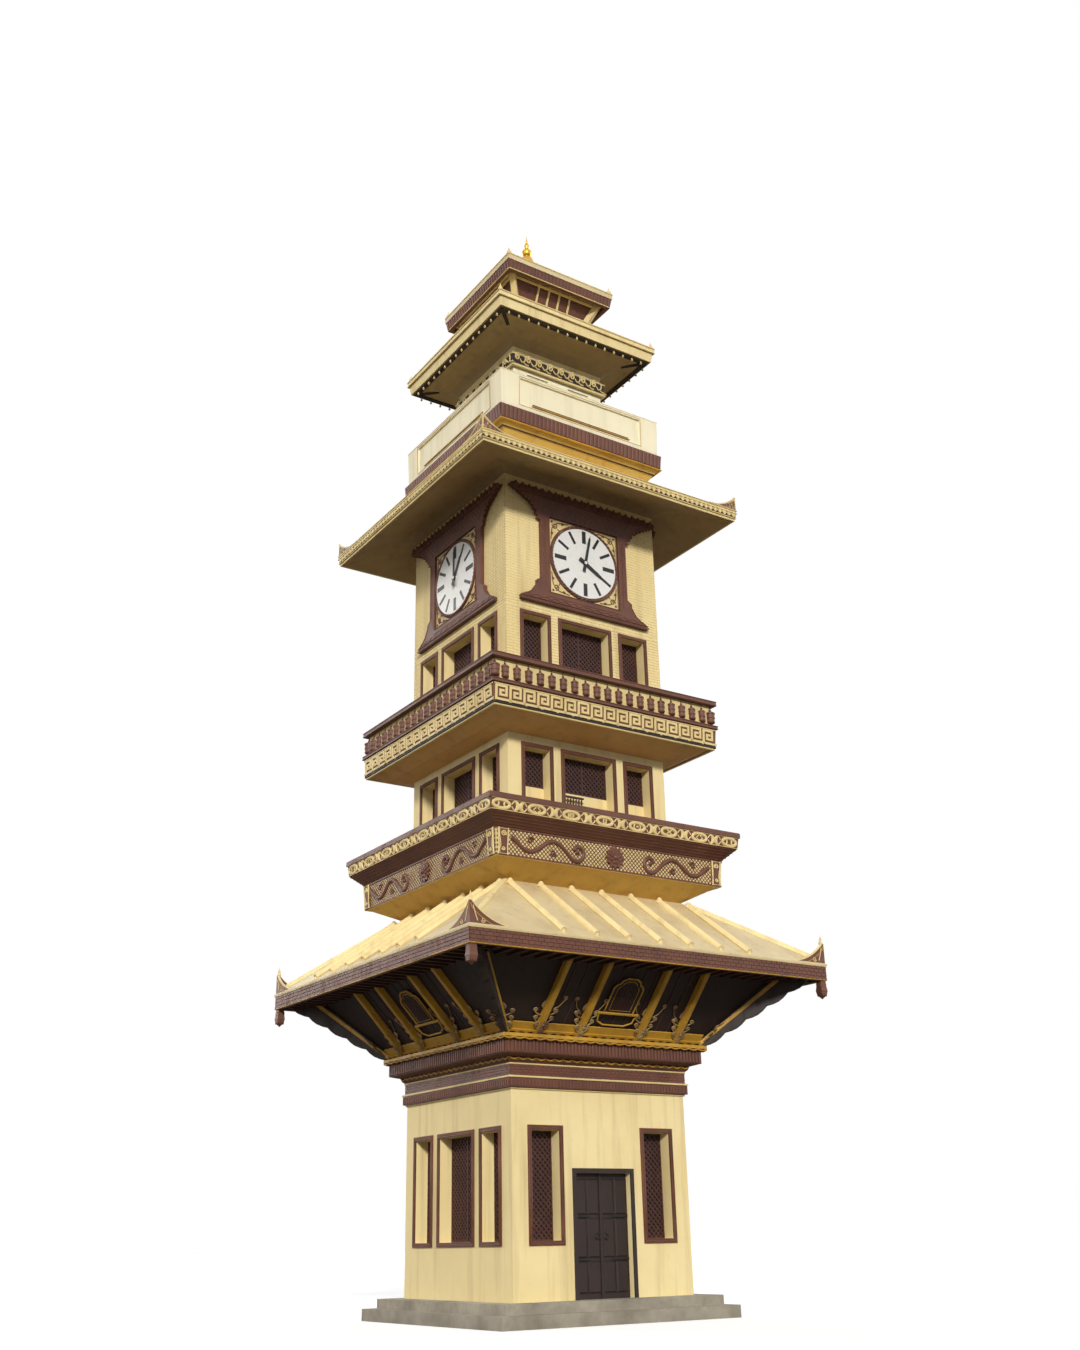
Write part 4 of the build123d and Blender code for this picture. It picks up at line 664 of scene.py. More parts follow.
# Leaning faces are given by half-width and height at the foot, then at the head
STRUT_FRONT = (2.69, 5.65, 4.01, 7.04)
STRUT_BACK = (2.52, 5.65, 3.84, 7.04)
STRUT_LENGTH = slant(*STRUT_FRONT)
SKIRT_EDGE, SKIRT_FOOT = 4.763, 7.35
SKIRT_HEAD, SKIRT_TOP = 2.45, 8.98
FASCIA = 4.733


def cornice_dress():
    """Ribs, lines and a wavy edge on the lower cornice."""
    ribs = hung(centred_row(rail(0.024, 0, 0.25, 0, 0.03, 0.01), 58, 0.09, 0.01), 2.63, 5.262)
    foot = hung(centred_row(rail(0.02, 0, 0.15, 0, 0.02, 0.008), 54, 0.088, 0.015), 2.38, 4.6)
    complete(joined(ribs, foot), "cornice_ribs", MAROON)
    wave = [(k * 0.0575 - 2.415, 0.026 * cos(k * pi / 2)) for k in range(85)]
    scallop = [(k * 0.065 - 2.73, -0.028 * abs(sin(k * pi / 4))) for k in range(85)]
    lines = [
        hung(tube(wave, 0.018, smooth=True), 2.424, 5.17),
        hung(tube(scallop, 0.02), 2.722, 5.566),
        hung(rail(2.735, 0, 0.075, -0.01, 0.012, 0.006), 2.722, 5.576),
    ]
    complete(joined(*lines), "cornice_mustard_lines", MUSTARD)
    fillets = [
        hung(rail(2.36, 0, 0.03, -0.01, 0.02, 0.006), 2.342, 5.06),
        hung(rail(2.4, 0, 0.04, -0.01, 0.02, 0.006), 2.382, 4.79),
        hung(rail(2.34, 0, 0.03, -0.01, 0.03, 0.006), 2.302, 4.56),
    ]
    complete(joined(*fillets), "cornice_cream_lines", TRIM)
    hang("cornice_courses", MAROON, (2.34, 4.83), bond(-2.34, 2.34, 0, 0.24, 0.13, 0.06, 0.01, 0.01))


def skirt_fascia_dress():
    """Small courses on the deep fascia, with lines over and under them."""
    courses = bond(-4.73, 4.73, 0, 0.32, 0.15, 0.08, 0.012, 0.012)
    hang("fascia_courses", MAROON, (FASCIA, 6.984), courses)
    line = hung(rail(4.75, 0, 0.03, -0.01, 0.022, 0.008), 4.736, 7.284)
    nosing = hung(roll(4.74, 0.018), 4.744, 7.338)
    complete(joined(line, nosing), "fascia_lines", TRIM)
    hang("fascia_foot_line", MUSTARD, (4.735, 6.975), rail(4.74, 0, 0.03, -0.02, 0.01, 0.006))


def swept_line(corner, base, length, height, thickness, inset=0, count=10):
    """Points along the swept top of a corner board, moved in from its edge."""
    run = length - thickness / 3
    radius = (run**2 + height**2) / (2 * height)
    sweep = 2 * atan2(height, run)
    points = []
    for i in range(count + 1):
        turn = sweep * i / count
        x = corner - length + (radius + inset) * sin(turn)
        points.append((min(x, corner - 0.02), base + radius - (radius + inset) * cos(turn)))
    return points


def corner_horn_dress():
    """Cream and gold rims on the swept corners, with a turned-up point."""
    board = (FASCIA, SKIRT_FOOT, 1.08, 0.47, 0.09)
    rims = hung(mirrored_pair(moved(tube(swept_line(*board), 0.034), z=-0.03)), FASCIA, 0)
    lines = hung(mirrored_pair(moved(tube(swept_line(*board, 0.085), 0.013), z=-0.005)), FASCIA, 0)
    point = [(0.03, 0), (0.05, 0.03), (0.045, 0.06), (0.028, 0.09), (0.034, 0.12)]
    point += [(0.012, 0.19), (0, 0.24)]
    tips = four_sides(moved(turned_profile(point, 8), 4.69, -4.69, 7.79))
    complete(joined(rims, tips), "corner_horn_rims", TRIM, smooth=40)
    complete(lines, "corner_horn_lines", MUSTARD)
    scroll = curl(4.42, 7.44, 0.015, 0.055, 200, 1.4, 0.01, flat=0.7)
    leaf = tube([(4.55, 7.42), (4.6, 7.55), (4.655, 7.72)], 0.012, flat=0.7)
    hang("corner_horn_carving", TRIM, (FASCIA, 0), mirrored_pair(scroll, leaf))


def pendant_dress():
    """A bordered square with teeth at the foot, on each corner pendant's faces."""
    teeth = [cutout([(x - 0.028, 0), (x + 0.028, 0), (x, -0.06)], 0.012) for x in (-0.05, 0, 0.05)]
    board = joined(raised(-0.08, 0.08, 0, 0.24, 0.012, 0.006), *teeth)
    one = four_sides(place(board, front_face(0.076, 0)))
    complete(four_sides(moved(one, 4.638, -4.638, 6.68)), "pendant_boards", MAROON)


def strut_foot_figure():
    """A tapered foot plate with a boss, and three curling leaves on each side."""
    leaves = []
    for y, reach, lift in ((0.1, 0.17, -0.04), (0.25, 0.24, -0.06), (0.42, 0.3, -0.09)):
        stem = [(0.07, y), (0.6 * reach, y + 0.02), (reach, y + 0.12)]
        end = spiral(reach - 0.05, y + 0.13, 0.055, 0.012, 0, 1.3, 9)
        leaves.append(moved(tube(stem + end, 0.017, smooth=True, sides=1), z=lift))
    leaf = cutout([(0, 0), (0.05, 0.05), (0.045, 0.12), (0, 0.2), (-0.02, 0.1)], 0.02, 0.004)
    leaves.append(moved(leaf, 0.1, 0.6, -0.1))
    plate = cutout(symmetric([(-0.062, 0), (-0.05, 0.22), (0, 0.4)]), 0.034, 0.01)
    eye = moved(curl(0, 0.12, 0.01, 0.05, 0, 1.6, 0.014, sides=1), z=0.036)
    return joined(mirrored_pair(*leaves), plate, eye, dome(0, 0.26, 0.035, 0.06, 10))


def strut_dress():
    """Strips on the struts, carved curls at their feet, struts along the hips."""
    places = (-1.85, -0.8, 0.8, 1.85)
    strips = [bar(x - 0.05, x + 0.05, 0.3, STRUT_LENGTH - 0.05, 0, 0.014, 0.005) for x in places]
    hang("strut_face_strips", MUSTARD, STRUT_FRONT, *strips)
    carving = strut_foot_figure()
    feet = [place(copied(carving, at(x)), front_face(*STRUT_FRONT)) for x in places]
    foot, head = Vector((2.62, -2.62, 5.66)), Vector((3.96, -3.96, 7.03))
    along = (head - foot).normalized()
    across = Vector((1, 1, 0)).normalized()
    hip = Matrix((across, along, across.cross(along))).transposed().to_4x4()
    hip.translation = foot
    feet.append(place(carving, hip @ at(0, 0.02, 0.04)))
    complete(four_sides(*feet), "strut_foot_carving", DARKER_TRIM, smooth=40)
    hip_bar = place(rail(0.085, 0, (head - foot).length, -0.07, 0.02, 0.012), hip)
    complete(four_sides(hip_bar), "hip_struts", MUSTARD)


def strut_vines():
    """Thin stems that rise between the struts and end in a curl."""
    vines = []
    for foot, side in ((-0.915, -1), (-1.735, 1), (-0.685, 1)):
        stem = []
        for k in range(5):
            stem.append((foot + side * (0.02 + 0.06 * k), 0.62 + 0.07 * k + 0.045 * sin(1.9 * k)))
        x, y = stem[-1]
        end = spiral(x - side * 0.01, y + 0.06, 0.065, 0.012, -90, 1.4 * side, 10)
        vines.append(tube(stem + end, 0.012, smooth=True, sides=1))
    vines = moved(mirrored_pair(*vines), z=0.02)
    hang("strut_vines", DARKER_TRIM, STRUT_BACK, vines, smooth=40)


def strut_arches():
    """A scalloped board between the struts' feet, with a leaning board over it."""
    arches = []
    for x0, x1 in ((-2.6, -1.915), (-1.785, -0.865), (-0.735, 0.735), (0.865, 1.785), (1.915, 2.6)):
        count = max(2, round((x1 - x0) / 0.24))
        step = (x1 - x0) / count
        line = [(x0, 0.13)]
        for i in range(count):
            line += arc(x0 + step * (i + 0.5), 0.02, step / 2 - 0.012, 0.07, 180, 0, 6)
        arches.append(cutout(line + [(x1, 0.13)], 0.04))
        arches.append(bar(x0, x1, 0.12, 0.3, -0.035, -0.005, 0.006))
    hang("strut_foot_arches", MUSTARD, (2.6, 5.65, 2.79, 5.85), *arches)


def strut_panel_dress():
    """A mustard outline with a shouldered head and a lower apron on each leaning panel."""
    middle = 0.62 * STRUT_LENGTH
    w, h, lift = 0.39, 0.45, 0.05
    low = middle - h
    head = ((1, -1), (1, 0.42), (0.86, 0.6), (0.7, 0.66), (0.6, 0.84), (0.34, 0.98))
    outline = symmetric([(-x * w, y * h) for x, y in head])
    board = cutout([(x, y + middle) for x, y in outline], 0.045, 0.01)
    hang("strut_panel_boards", TIMBER, STRUT_BACK, board)
    apron = symmetric([(-0.5, low - 0.02), (-0.47, low - 0.22), (-0.28, low - 0.31)])
    rims = joined(
        tube([(x, y + middle) for x, y in outline], 0.026, closed=True),
        tube([(0.72 * x, 0.84 * y + middle) for x, y in outline], 0.01, closed=True),
        tube(apron, 0.024),
        rail(0.54, low - 0.03, low + 0.02, -0.02, 0.03, 0.008),
    )
    hang("strut_panel_rims", MUSTARD, STRUT_BACK, moved(rims, z=lift))
    bars = lattice(-0.62 * w, 0.62 * w, middle - 0.8 * h, middle + 0.6 * h, 0.07, 0.016, 0.012)
    hang("strut_panel_bars", LATH, STRUT_BACK, moved(bars, z=lift))
    boards = centred_row(rail(0.012, 0.02, STRUT_LENGTH - 0.02, -0.01, 0.014), 13, 0.31)
    joists = centred_row(rail(0.03, -4.6, -3.86, 6.98, 7.05), 27, 0.33)
    boards = place(boards, front_face(*STRUT_BACK))
    complete(four_sides(boards, joists), "skirt_soffit_joists", LATH)


def skirt_roof_dress():
    """Round rolls over the ribs, with a knob at the head of each."""
    rise = (SKIRT_TOP - SKIRT_FOOT) / (SKIRT_EDGE - SKIRT_HEAD)
    rolls = []
    for x in (-2.49, -1.66, -0.83, 0, 0.83, 1.66, 2.49):
        head = max(SKIRT_HEAD, abs(x)) + 0.17
        top = SKIRT_FOOT + (SKIRT_EDGE - head) * rise + 0.035
        rolls.append(tube([(x, -4.69, SKIRT_FOOT + 0.09), (x, -head, top)], 0.078, sides=2))
        rolls.append(moved(dome(0, 0, 0.1, 0.13, 10), x, -head, top - 0.03))
    complete(four_sides(*rolls), "skirt_roof_rolls", CREAM, smooth=45)


# Lower balcony

BAND = (3.13, 9.31, 3.167, 9.926)
FLARED_BOARD = (3.167, 9.926, 3.459, 10.204)
CARVED_BAND = (3.459, 10.204, 3.489, 10.464)


def lattice_band_dress():
    """Crossed laths over the pale ground of the band."""
    laths = lattice(-3.13, 3.13, 0.03, 0.585, 0.071, 0.019, 0.008)
    rails = [rail(3.14, 0, 0.034, -0.004, 0.024), rail(3.17, 0.58, 0.617, -0.004, 0.024)]
    hang("band_lattice", MAROON, BAND, laths, *rails)


def band_creepers():
    """Winding stems either side of a lotus boss."""
    stem = spiral(1.02, 0.3, 0.1, 0.235, 20, 0.86, 14)
    stem += [(1.36 + 0.1 * k, 0.31 + 0.155 * cos(pi * (0.1 * k - 0.31) / 0.62)) for k in range(15)]
    vine = [tube(stem, 0.05, smooth=True, sides=2, flat=0.7), dome(1.02, 0.3, 0.05, 0.05, 12)]
    for x, up in ((1.67, -1), (2.27, 1)):
        vine.append(curl(x, 0.31 + up * 0.1, 0.02, 0.085, 90 * up, 1.2 * up, 0.02, smooth=True, sides=1))
    both = moved(mirrored_pair(*vine), z=0.016)
    hang("band_creepers", MAROON, BAND, both, smooth=50)
    outer = cutout([(0.09, -0.035), (0.2, -0.055), (0.27, 0), (0.2, 0.055), (0.09, 0.035)], 0.035, 0.01)
    inner = cutout([(0.05, -0.03), (0.12, -0.045), (0.17, 0), (0.12, 0.045), (0.05, 0.03)], 0.06, 0.012)
    petals = [
        spread(outer, [spun(k * pi / 6) for k in range(12)]),
        spread(inner, [spun((k + 0.5) * pi / 4) for k in range(8)]),
    ]
    boss = moved(joined(dome(0, 0, 0.1, 0.11, 16), *petals), 0, 0.31, 0.018)
    hang("band_lotus_boss", MAROON, BAND, boss, smooth=35)


def band_brackets():
    """Maroon brackets with cream curls and rims at the ends of the lattice band."""
    outline = [(-0.13, 0), (0.1, 0), (0.12, 0.1), (0.08, 0.2), (0.1, 0.32), (0.13, 0.46)]
    outline += [(0.13, 0.61), (-0.13, 0.61)]
    plate = moved(cutout(outline, 0.04, 0.008), 2.98)
    hang("band_bracket_plates", MAROON, BAND, mirrored_pair(plate))
    carving = [
        moved(tube([(x * 0.8, 0.03 + y * 0.9) for x, y in outline], 0.012, closed=True), z=0.042),
        moved(curl(0, 0.47, 0.015, 0.07, 0, 1.6, 0.014, sides=1), z=0.045),
        moved(curl(0, 0.14, 0.012, 0.05, 180, 1.5, 0.012, sides=1), z=0.045),
    ]
    for side in (-1, 1):
        edge = [(side * x, y) for x, y in ((0.115, 0.01), (0.105, 0.2), (0.12, 0.4), (0.125, 0.6))]
        carving.append(moved(tube(edge, 0.02), z=0.035))
    hang("band_bracket_carving", TRIM, BAND, mirrored_pair(moved(joined(*carving), 2.98)))


def flared_board_dress():
    """Fine lines along the leaning board."""
    lines = [rail(3.167 + y * 0.72, y, y + 0.02, 0, 0.012) for y in (0.03, 0.11, 0.19, 0.27, 0.35)]
    hang("flared_board_lines", MAROON, FLARED_BOARD, *lines)


def ring_figures():
    """The small figures inside the rings: leaf pair, vase, bud, knot, shell and wheel."""
    knot = joined(rail(0.055, -0.01, 0.01, 0, 0.02), rail(0.01, -0.055, 0.055, 0, 0.018))
    bud = tube([(0, -0.06), (-0.045, 0), (0, 0.07)], 0.012, smooth=True)
    rim = tube(arc(0, 0, 0.055, 0.055, 0, 330, 11), 0.011, closed=True)
    wheel = joined(rim, dome(0, 0, 0.022, 0.025, 8))
    leaf = tube([(-0.06, -0.05), (-0.02, 0), (-0.06, 0.06)], 0.013, smooth=True)
    vase = tube(symmetric([(-0.03, 0.06), (-0.02, 0.03), (-0.055, -0.01), (0, -0.06)]), 0.012)
    shell = curl(0, 0, 0.01, 0.06, 0, 1.75, 0.012)
    return [mirrored_pair(leaf), vase, mirrored_pair(bud), place(knot, spun(pi / 4)), shell, wheel]


def carved_band_dress():
    """Eight rings a side with small figures in them, and crossed leaves between."""
    pitch = 6.4 / 7
    ring = tube(arc(0, 0, 0.21, 0.092, 0, 345, 23), 0.04, closed=True, sides=1, flat=0.7)
    figures = ring_figures()
    rings = []
    for i, figure in enumerate((0, 1, 4, 2, 5, 3, 1, 0)):
        x = -3.2 + i * pitch
        rings.append(copied(ring, at(x)))
        rings.append(copied(figures[figure], at(x) @ scale(1.7, 1.25, 1.2)))
    for pattern in [ring] + figures:
        bpy.data.objects.remove(pattern)
    edge = arc(0.215, 0, 0.18, 0.125, 122, 238, 8)
    leaf = [tube(edge, 0.041, sides=1, flat=0.7, taper=lambda t: 0.45 + 0.9 * sin(pi * t))]
    for up in (-1, 1):
        tip = [(0.115, up * 0.105), (0.17, up * 0.07), (0.19, up * 0.02)]
        leaf.append(tube(tip, 0.016, smooth=True))
    cross = joined(mirrored_pair(*leaf), dome(0, 0, 0.022, 0.024, 8))
    band = moved(joined(centred_row(cross, 7, pitch), *rings), 0, 0.131)
    hang("carved_band_rings", TRIM, CARVED_BAND, band, smooth=40)
    lines = [rail(3.45, y, y + 0.014, 0, 0.012) for y in (0.002, 0.247)]
    hang("carved_band_lines", TRIM, CARVED_BAND, *lines)


# Upper balcony

WHEEL = [
    (0.05, 0), (0.052, 0.012), (0.022, 0.02), (0.022, 0.052), (0.05, 0.062), (0.086, 0.084),
    (0.096, 0.108), (0.096, 0.126), (0.088, 0.136), (0.09, 0.2), (0.099, 0.21), (0.099, 0.236),
    (0.091, 0.246), (0.093, 0.312), (0.103, 0.322), (0.103, 0.35), (0.09, 0.362), (0.062, 0.382),
    (0.032, 0.394), (0.022, 0.414), (0.031, 0.43), (0.012, 0.462), (0.005, 0.528),
]
LEDGE_TOP = 13.37


def meander_dress():
    """A running key pattern between two lines, over a dark strip and a drip."""
    unit = 0.0535
    grow = 0.56 * unit
    outer = ((0, 0, 0, 6), (0, 6, 5, 6), (5, 2, 5, 6))
    runs = outer + ((2, 2, 5, 2), (2, 2, 2, 4), (2, 4, 3.4, 4), (0, 0, 7, 0))
    parts = []
    for k, run in enumerate(runs):
        x0, y0, x1, y1 = (n * unit for n in run)
        parts.append(raised(x0 - grow, x1 + grow, y0 - grow, y1 + grow, 0.02 + 0.0006 * k, 0.003))
    key = moved(row(joined(*parts), 17, (7 * unit, 0, 0)), -3.16, 0.085)
    low = rail(3.2, 0.04, 0.058, 0, 0.024, 0.006)
    high = rail(3.22, 0.438, 0.466, 0, 0.024, 0.006)
    hang("key_pattern", TRIM, (3.206, 12.79, 3.235, 13.277), key, low, high)
    hang("balcony_drip", TRIM, (3.19, 12.79), rail(3.2, -0.05, -0.004, -0.05, 0.012, 0.01))
    strip = rail(3.22, -0.006, 0.04, -0.04, 0.018, 0.004)
    dashes = moved(row(bar(0, 0.36, 0.034, 0.056, 0, 0.03, 0.004), 15, (0.43, 0, 0)), -3.19)
    hang("balcony_drip_shadow_line", TIMBER, (3.208, 12.79), strip, dashes)


def prayer_wheel_row():
    """Turned barrels in half relief along each side, and a larger one round each corner."""
    barrels = centred_row(turned_profile(WHEEL, 8, pi), 19, 0.32, -3.15, LEDGE_TOP)
    large = moved(place(turned_profile(WHEEL, 16), scale(1.2, 1.2)), 3.155, -3.155, LEDGE_TOP)
    wheels = four_sides(barrels, large)
    complete(wheels, "prayer_wheel_row", MAROON, replaces=["prayer_wheels"], smooth=42)


def balcony_edges():
    """Rounded nosings on the ledge and the rail."""
    nosings = [hung(roll(3.278, 0.014, 1), 3.274, z) for z in (13.29, 13.358, 13.912, 14.008)]
    complete(joined(*nosings), "balcony_nosings", MAROON, smooth=40)


# Clock storey

DIAL_CENTRE = 17.42
DIAL_FACE = (2.36, 0)
CASE_FACE = (2.4, 0)
# Hour and minute that each side shows
TIMES = {"front": (4, 2), "right": (2, 26), "back": (3, 48), "left": (1, 0)}
# Reach, tail, face, and half-width of the blade at its tail and near its tip
HANDS = {"minute": (0.83, 0.24, 2.448, 0.046, 0.03), "hour": (0.62, 0.19, 2.428, 0.062, 0.04)}


def clock_storey_bricks():
    """Painted brick courses on the shaft, left out behind the clock cases and windows."""
    fields = (
        (-SHAFT, -1.918, 13.9, 15.8),
        (1.918, SHAFT, 13.9, 15.8),
        (-SHAFT, SHAFT, 15.8, 16.025),
        (-SHAFT, -1.3, 16.025, 19.325),
        (1.3, SHAFT, 16.025, 19.325),
        (-1.015, -0.806, 13.9, 15.8),
        (0.806, 1.015, 13.9, 15.8),
    )
    courses = [bond(*field, 0.23, 0.075, 0.012, 0.01) for field in fields]
    hang("clock_storey_bricks", CREAM, (SHAFT, 0), *courses)


def rope_rings():
    """Two strands twisted about each other round each dial."""
    ring = [turned_profile([(1.043, 0), (1.036, 0.02), (0.962, 0.02), (0.957, 0)], 64)]
    turns, per_turn = 28, 7
    for strand in range(2):
        points = []
        for i in range(turns * per_turn):
            a = 2 * pi * i / (turns * per_turn)
            b = turns * a + pi * strand
            r = 0.999 + 0.022 * cos(b)
            points.append((r * cos(a), r * sin(a), 0.022 + 0.018 * sin(b)))
        ring.append(tube(points, 0.026, closed=True, sides=1))
    ring = moved(joined(*ring), 0, DIAL_CENTRE)
    hang("twisted_rope_rings", MAROON, DIAL_FACE, ring, replaces=["rope_rings"], smooth=50)


def dial_corner_scrolls():
    """Dark curls and a knot in each corner of the dial panels."""
    lines = [
        curl(0.86, 0.86, 0.018, 0.085, 225, -1.4, 0.016, sides=1),
        tube([(0.93, 0.82), (0.98, 0.7), (0.965, 0.58), (0.99, 0.46)], 0.014, smooth=True),
        tube([(0.82, 0.93), (0.7, 0.98), (0.58, 0.965), (0.46, 0.99)], 0.014, smooth=True),
        curl(0.955, 0.62, 0.01, 0.042, 90, 1.2, 0.012),
        curl(0.62, 0.955, 0.01, 0.042, 0, -1.2, 0.012),
        dome(0.955, 0.955, 0.032, 0.02, 10),
        tube([(0.79, 0.79), (0.74, 0.76), (0.76, 0.72)], 0.012, smooth=True),
    ]
    corners = four_sides(moved(joined(*lines), z=0.004))
    scrolls = moved(joined(corners, beaded_frame(-1.03, 1.03, -1.03, 1.03, 0.013)), 0, DIAL_CENTRE)
    hang("dial_corner_scrolls", MAROON, DIAL_FACE, scrolls)


def case_dress():
    """Bead lines, pearls and waves on the clock cases."""
    lines = [
        [(1.085, 16.4), (1.085, 18.3)],
        [(1.285, 16.72), (1.285, 18.3)],
        [(1.285, 16.72), (1.42, 16.61), (1.42, 16.54), (1.56, 16.32), (1.76, 16.18), (1.88, 16.14)],
        [(0, 16.36), (1.085, 16.36), (1.085, 16.4)],
    ]
    sides = mirrored_pair(*[tube(line, 0.012) for line in lines])
    base = [rail(1.94, y, y + 0.022, 0, 0.02, 0.006) for y in (16.01, 16.1)]
    low, high = DIAL_CENTRE - 1.054, DIAL_CENTRE + 1.054
    rim = beaded_frame(-1.054, 1.054, low, high, 0.018, 1)
    hang("clock_case_lines", MAROON, CASE_FACE, sides, rim, *base)
    pearl = raised(-0.018, 0.018, -0.018, 0.018, 0.014, 0.009)
    pitch = 0.066
    strings = [
        string_of(pearl, 28, (0, pitch, 0), 1.185, 16.5),
        string_of(pearl, 30, (-pitch, 0, 0), 1.95, 16.065),
        string_of(pearl, 17, (-pitch, 0, 0), 1.085, 16.25),
    ]
    bpy.data.objects.remove(pearl)
    hang("clock_case_pearls", MAROON, CASE_FACE, mirrored_pair(*strings))
    up = [(1.235 + 0.028 * sin(0.9 * k), 16.76 + 0.04 * k) for k in range(39)]
    out = [(0.04 * k, 16.175 + 0.028 * sin(0.9 * k)) for k in range(46)]
    waves = joined(tube(up, 0.011, flat=0.9), tube(out, 0.011, flat=0.9))
    hang("clock_case_waves", MAROON, CASE_FACE, mirrored_pair(waves))


def canopy_dress():
    """A crest of leaves, rows of scales and toothed wings on the leaning canopies."""
    blade = symmetric([(-0.055, 0), (-0.095, 0.055), (-0.05, 0.085), (-0.06, 0.13), (0, 0.2)])
    vein = moved(tube([(0, 0.02), (0, 0.16)], 0.009), z=0.028)
    crest = centred_row(joined(cutout(blade, 0.028, 0.007), vein), 22, 0.2, 0.66)
    rim = rail(2.14, 0.62, 0.66, 0, 0.04, 0.01)
    scale_leaf = cutout(symmetric([(-0.068, 0.07), (-0.05, 0.02), (0, -0.045)]), 0.02)
    place(scale_leaf, at(0, 0.07, -0.008) @ Matrix.Rotation(0.11, 4, "X") @ at(0, -0.07))
    scales = []
    pitch = 0.14
    reaches = ((0.21, 1.3), (0.29, 1.38), (0.37, 1.46), (0.45, 1.55), (0.53, 1.72))
    for k, (y, reach) in enumerate(reaches):
        count = int(2 * reach / pitch)
        line = centred_row(copied(scale_leaf, at()), count, pitch, y)
        scales.append(moved(line, pitch / 2 * ((count + k) % 2)))
    bpy.data.objects.remove(scale_leaf)
    tip = cutout(symmetric([(-0.055, -0.02), (-0.065, 0.03), (-0.02, 0.055), (0, 0.1)]), 0.075)
    wing = [(1.316, 0), (1.426, 0.24), (1.627, 0.46), (1.919, 0.62), (2.23, 0.77)]
    places = []
    for (xa, ya), (xb, yb) in zip(wing, wing[1:]):
        count = round(hypot(xb - xa, yb - ya) / 0.125)
        for k in range(count):
            t = (k + 0.5) / count
            turn = spun(atan2(ya - yb, xa - xb))
            places.append(at(xa + t * (xb - xa), ya + t * (yb - ya), -0.07) @ turn)
    wings = mirrored_pair(spread(tip, places))
    hang("canopy_leaves", MAROON, (2.4, 18.321, 2.49, 19.15), crest, rim, wings, *scales)


def hour_bars():
    """Long bars round each dial, the quarters wider, in place of the short ones."""
    bars = []
    for k in range(12):
        half = 0.058 if k % 3 == 0 else 0.039
        bars.append(place(raised(-half, half, 0.56, 0.91, 0.0075, 0.003), spun(k * pi / 6)))
    hang("hour_bars", BLACK, CASE_FACE, moved(joined(*bars), 0, DIAL_CENTRE), replaces=["hour_marks"])


def hand_dress(side, quarter):
    """A thin rib along each hand of a dial, with its root inside the hand, riding with it."""
    hour, minute = TIMES[side]
    for kind, angle in (("minute", 6 * minute), ("hour", 30 * hour + 0.5 * minute)):
        reach, tail, face, foot, tip = HANDS[kind]
        rib = cutout(symmetric([(-0.006, -0.8 * tail), (-0.012, 0.7 * reach), (0, 0.94 * reach)]), 0.001)
        blade = cutout(symmetric([(-foot, -tail), (-tip, 0.9 * reach)]), 0.011)
        rib = place(joined(rib, moved(blade, z=-0.0125)), spun(-radians(angle)))
        place(rib, quarter @ front_face(face, DIAL_CENTRE))
        complete(rib, f"{side}_{kind}_hand_rib", BLACK, body=f"{side}_{kind}")


# Eave and terrace

EAVE_CORNER = (3.9, 0)


def eave_edge():
    """A row of hanging teeth between mouldings along the big eave."""
    hang("eave_tooth_ground", TIMBER, (3.884, 19.122), rail(3.88, 0, 0.115, -0.03, 0))
    tooth = cutout(symmetric([(-0.042, 0.115), (-0.042, 0.045), (-0.03, 0.016), (0, 0)]), 0.026)
    edge = [
        hung(centred_row(tooth, 50, 0.155), 3.884, 19.126),
        hung(rail(3.9, 0, 0.03, -0.02, 0.02, 0.008), 3.872, 19.098),
        hung(rail(3.93, 0, 0.022, -0.02, 0.018, 0.006), 3.902, 19.236),
        hung(roll(3.92, 0.02, 1), 3.9, 19.325),
    ]
    complete(joined(*edge), "eave_teeth", TRIM)


def eave_corner_leaves():
    """Scrolls in relief on the swept boards at the eave's corners."""
    carving = [
        tube(swept_line(3.9, 19.34, 0.9, 0.38, 0.06), 0.03),
        tube([(3.05, 19.355), (3.88, 19.355)], 0.018),
        curl(3.82, 19.43, 0.012, 0.058, 200, 1.5, 0.016),
        curl(3.69, 19.43, 0.012, 0.052, 20, -1.5, 0.015),
        curl(3.575, 19.41, 0.01, 0.04, 200, 1.4, 0.013),
        curl(3.48, 19.395, 0.008, 0.028, 20, -1.3, 0.011),
        curl(3.4, 19.385, 0.006, 0.018, 200, 1.2, 0.01),
        curl(3.79, 19.53, 0.008, 0.03, 300, 1.3, 0.012),
        tube([(3.84, 19.49), (3.82, 19.55), (3.86, 19.62)], 0.012, smooth=True),
    ]
    leaf = cutout([(0, 0), (0.02, 0.03), (0, 0.085), (-0.02, 0.03)], 0.018)
    leaves = []
    for x, y, turn, size in (
        (3.755, 19.455, -10, 0.9),
        (3.635, 19.43, 15, 0.6),
        (3.53, 19.4, 25, 0.45),
        (3.885, 19.36, 0, 0.9),
    ):
        leaves.append(at(x, y) @ spun(radians(turn)) @ Matrix.Scale(size, 4))
    carving = moved(joined(*carving, spread(leaf, leaves)), z=-0.005)
    hang("eave_corner_scrolls", TRIM, EAVE_CORNER, mirrored_pair(carving))
    line = swept_line(3.88, 19.36, 0.82, 0.3, 0.06, 0.02)
    ground = cutout([(3.06, 19.36)] + line + [(3.88, 19.36)], 0.006)
    hang("eave_corner_ground", MAROON, EAVE_CORNER, mirrored_pair(ground))


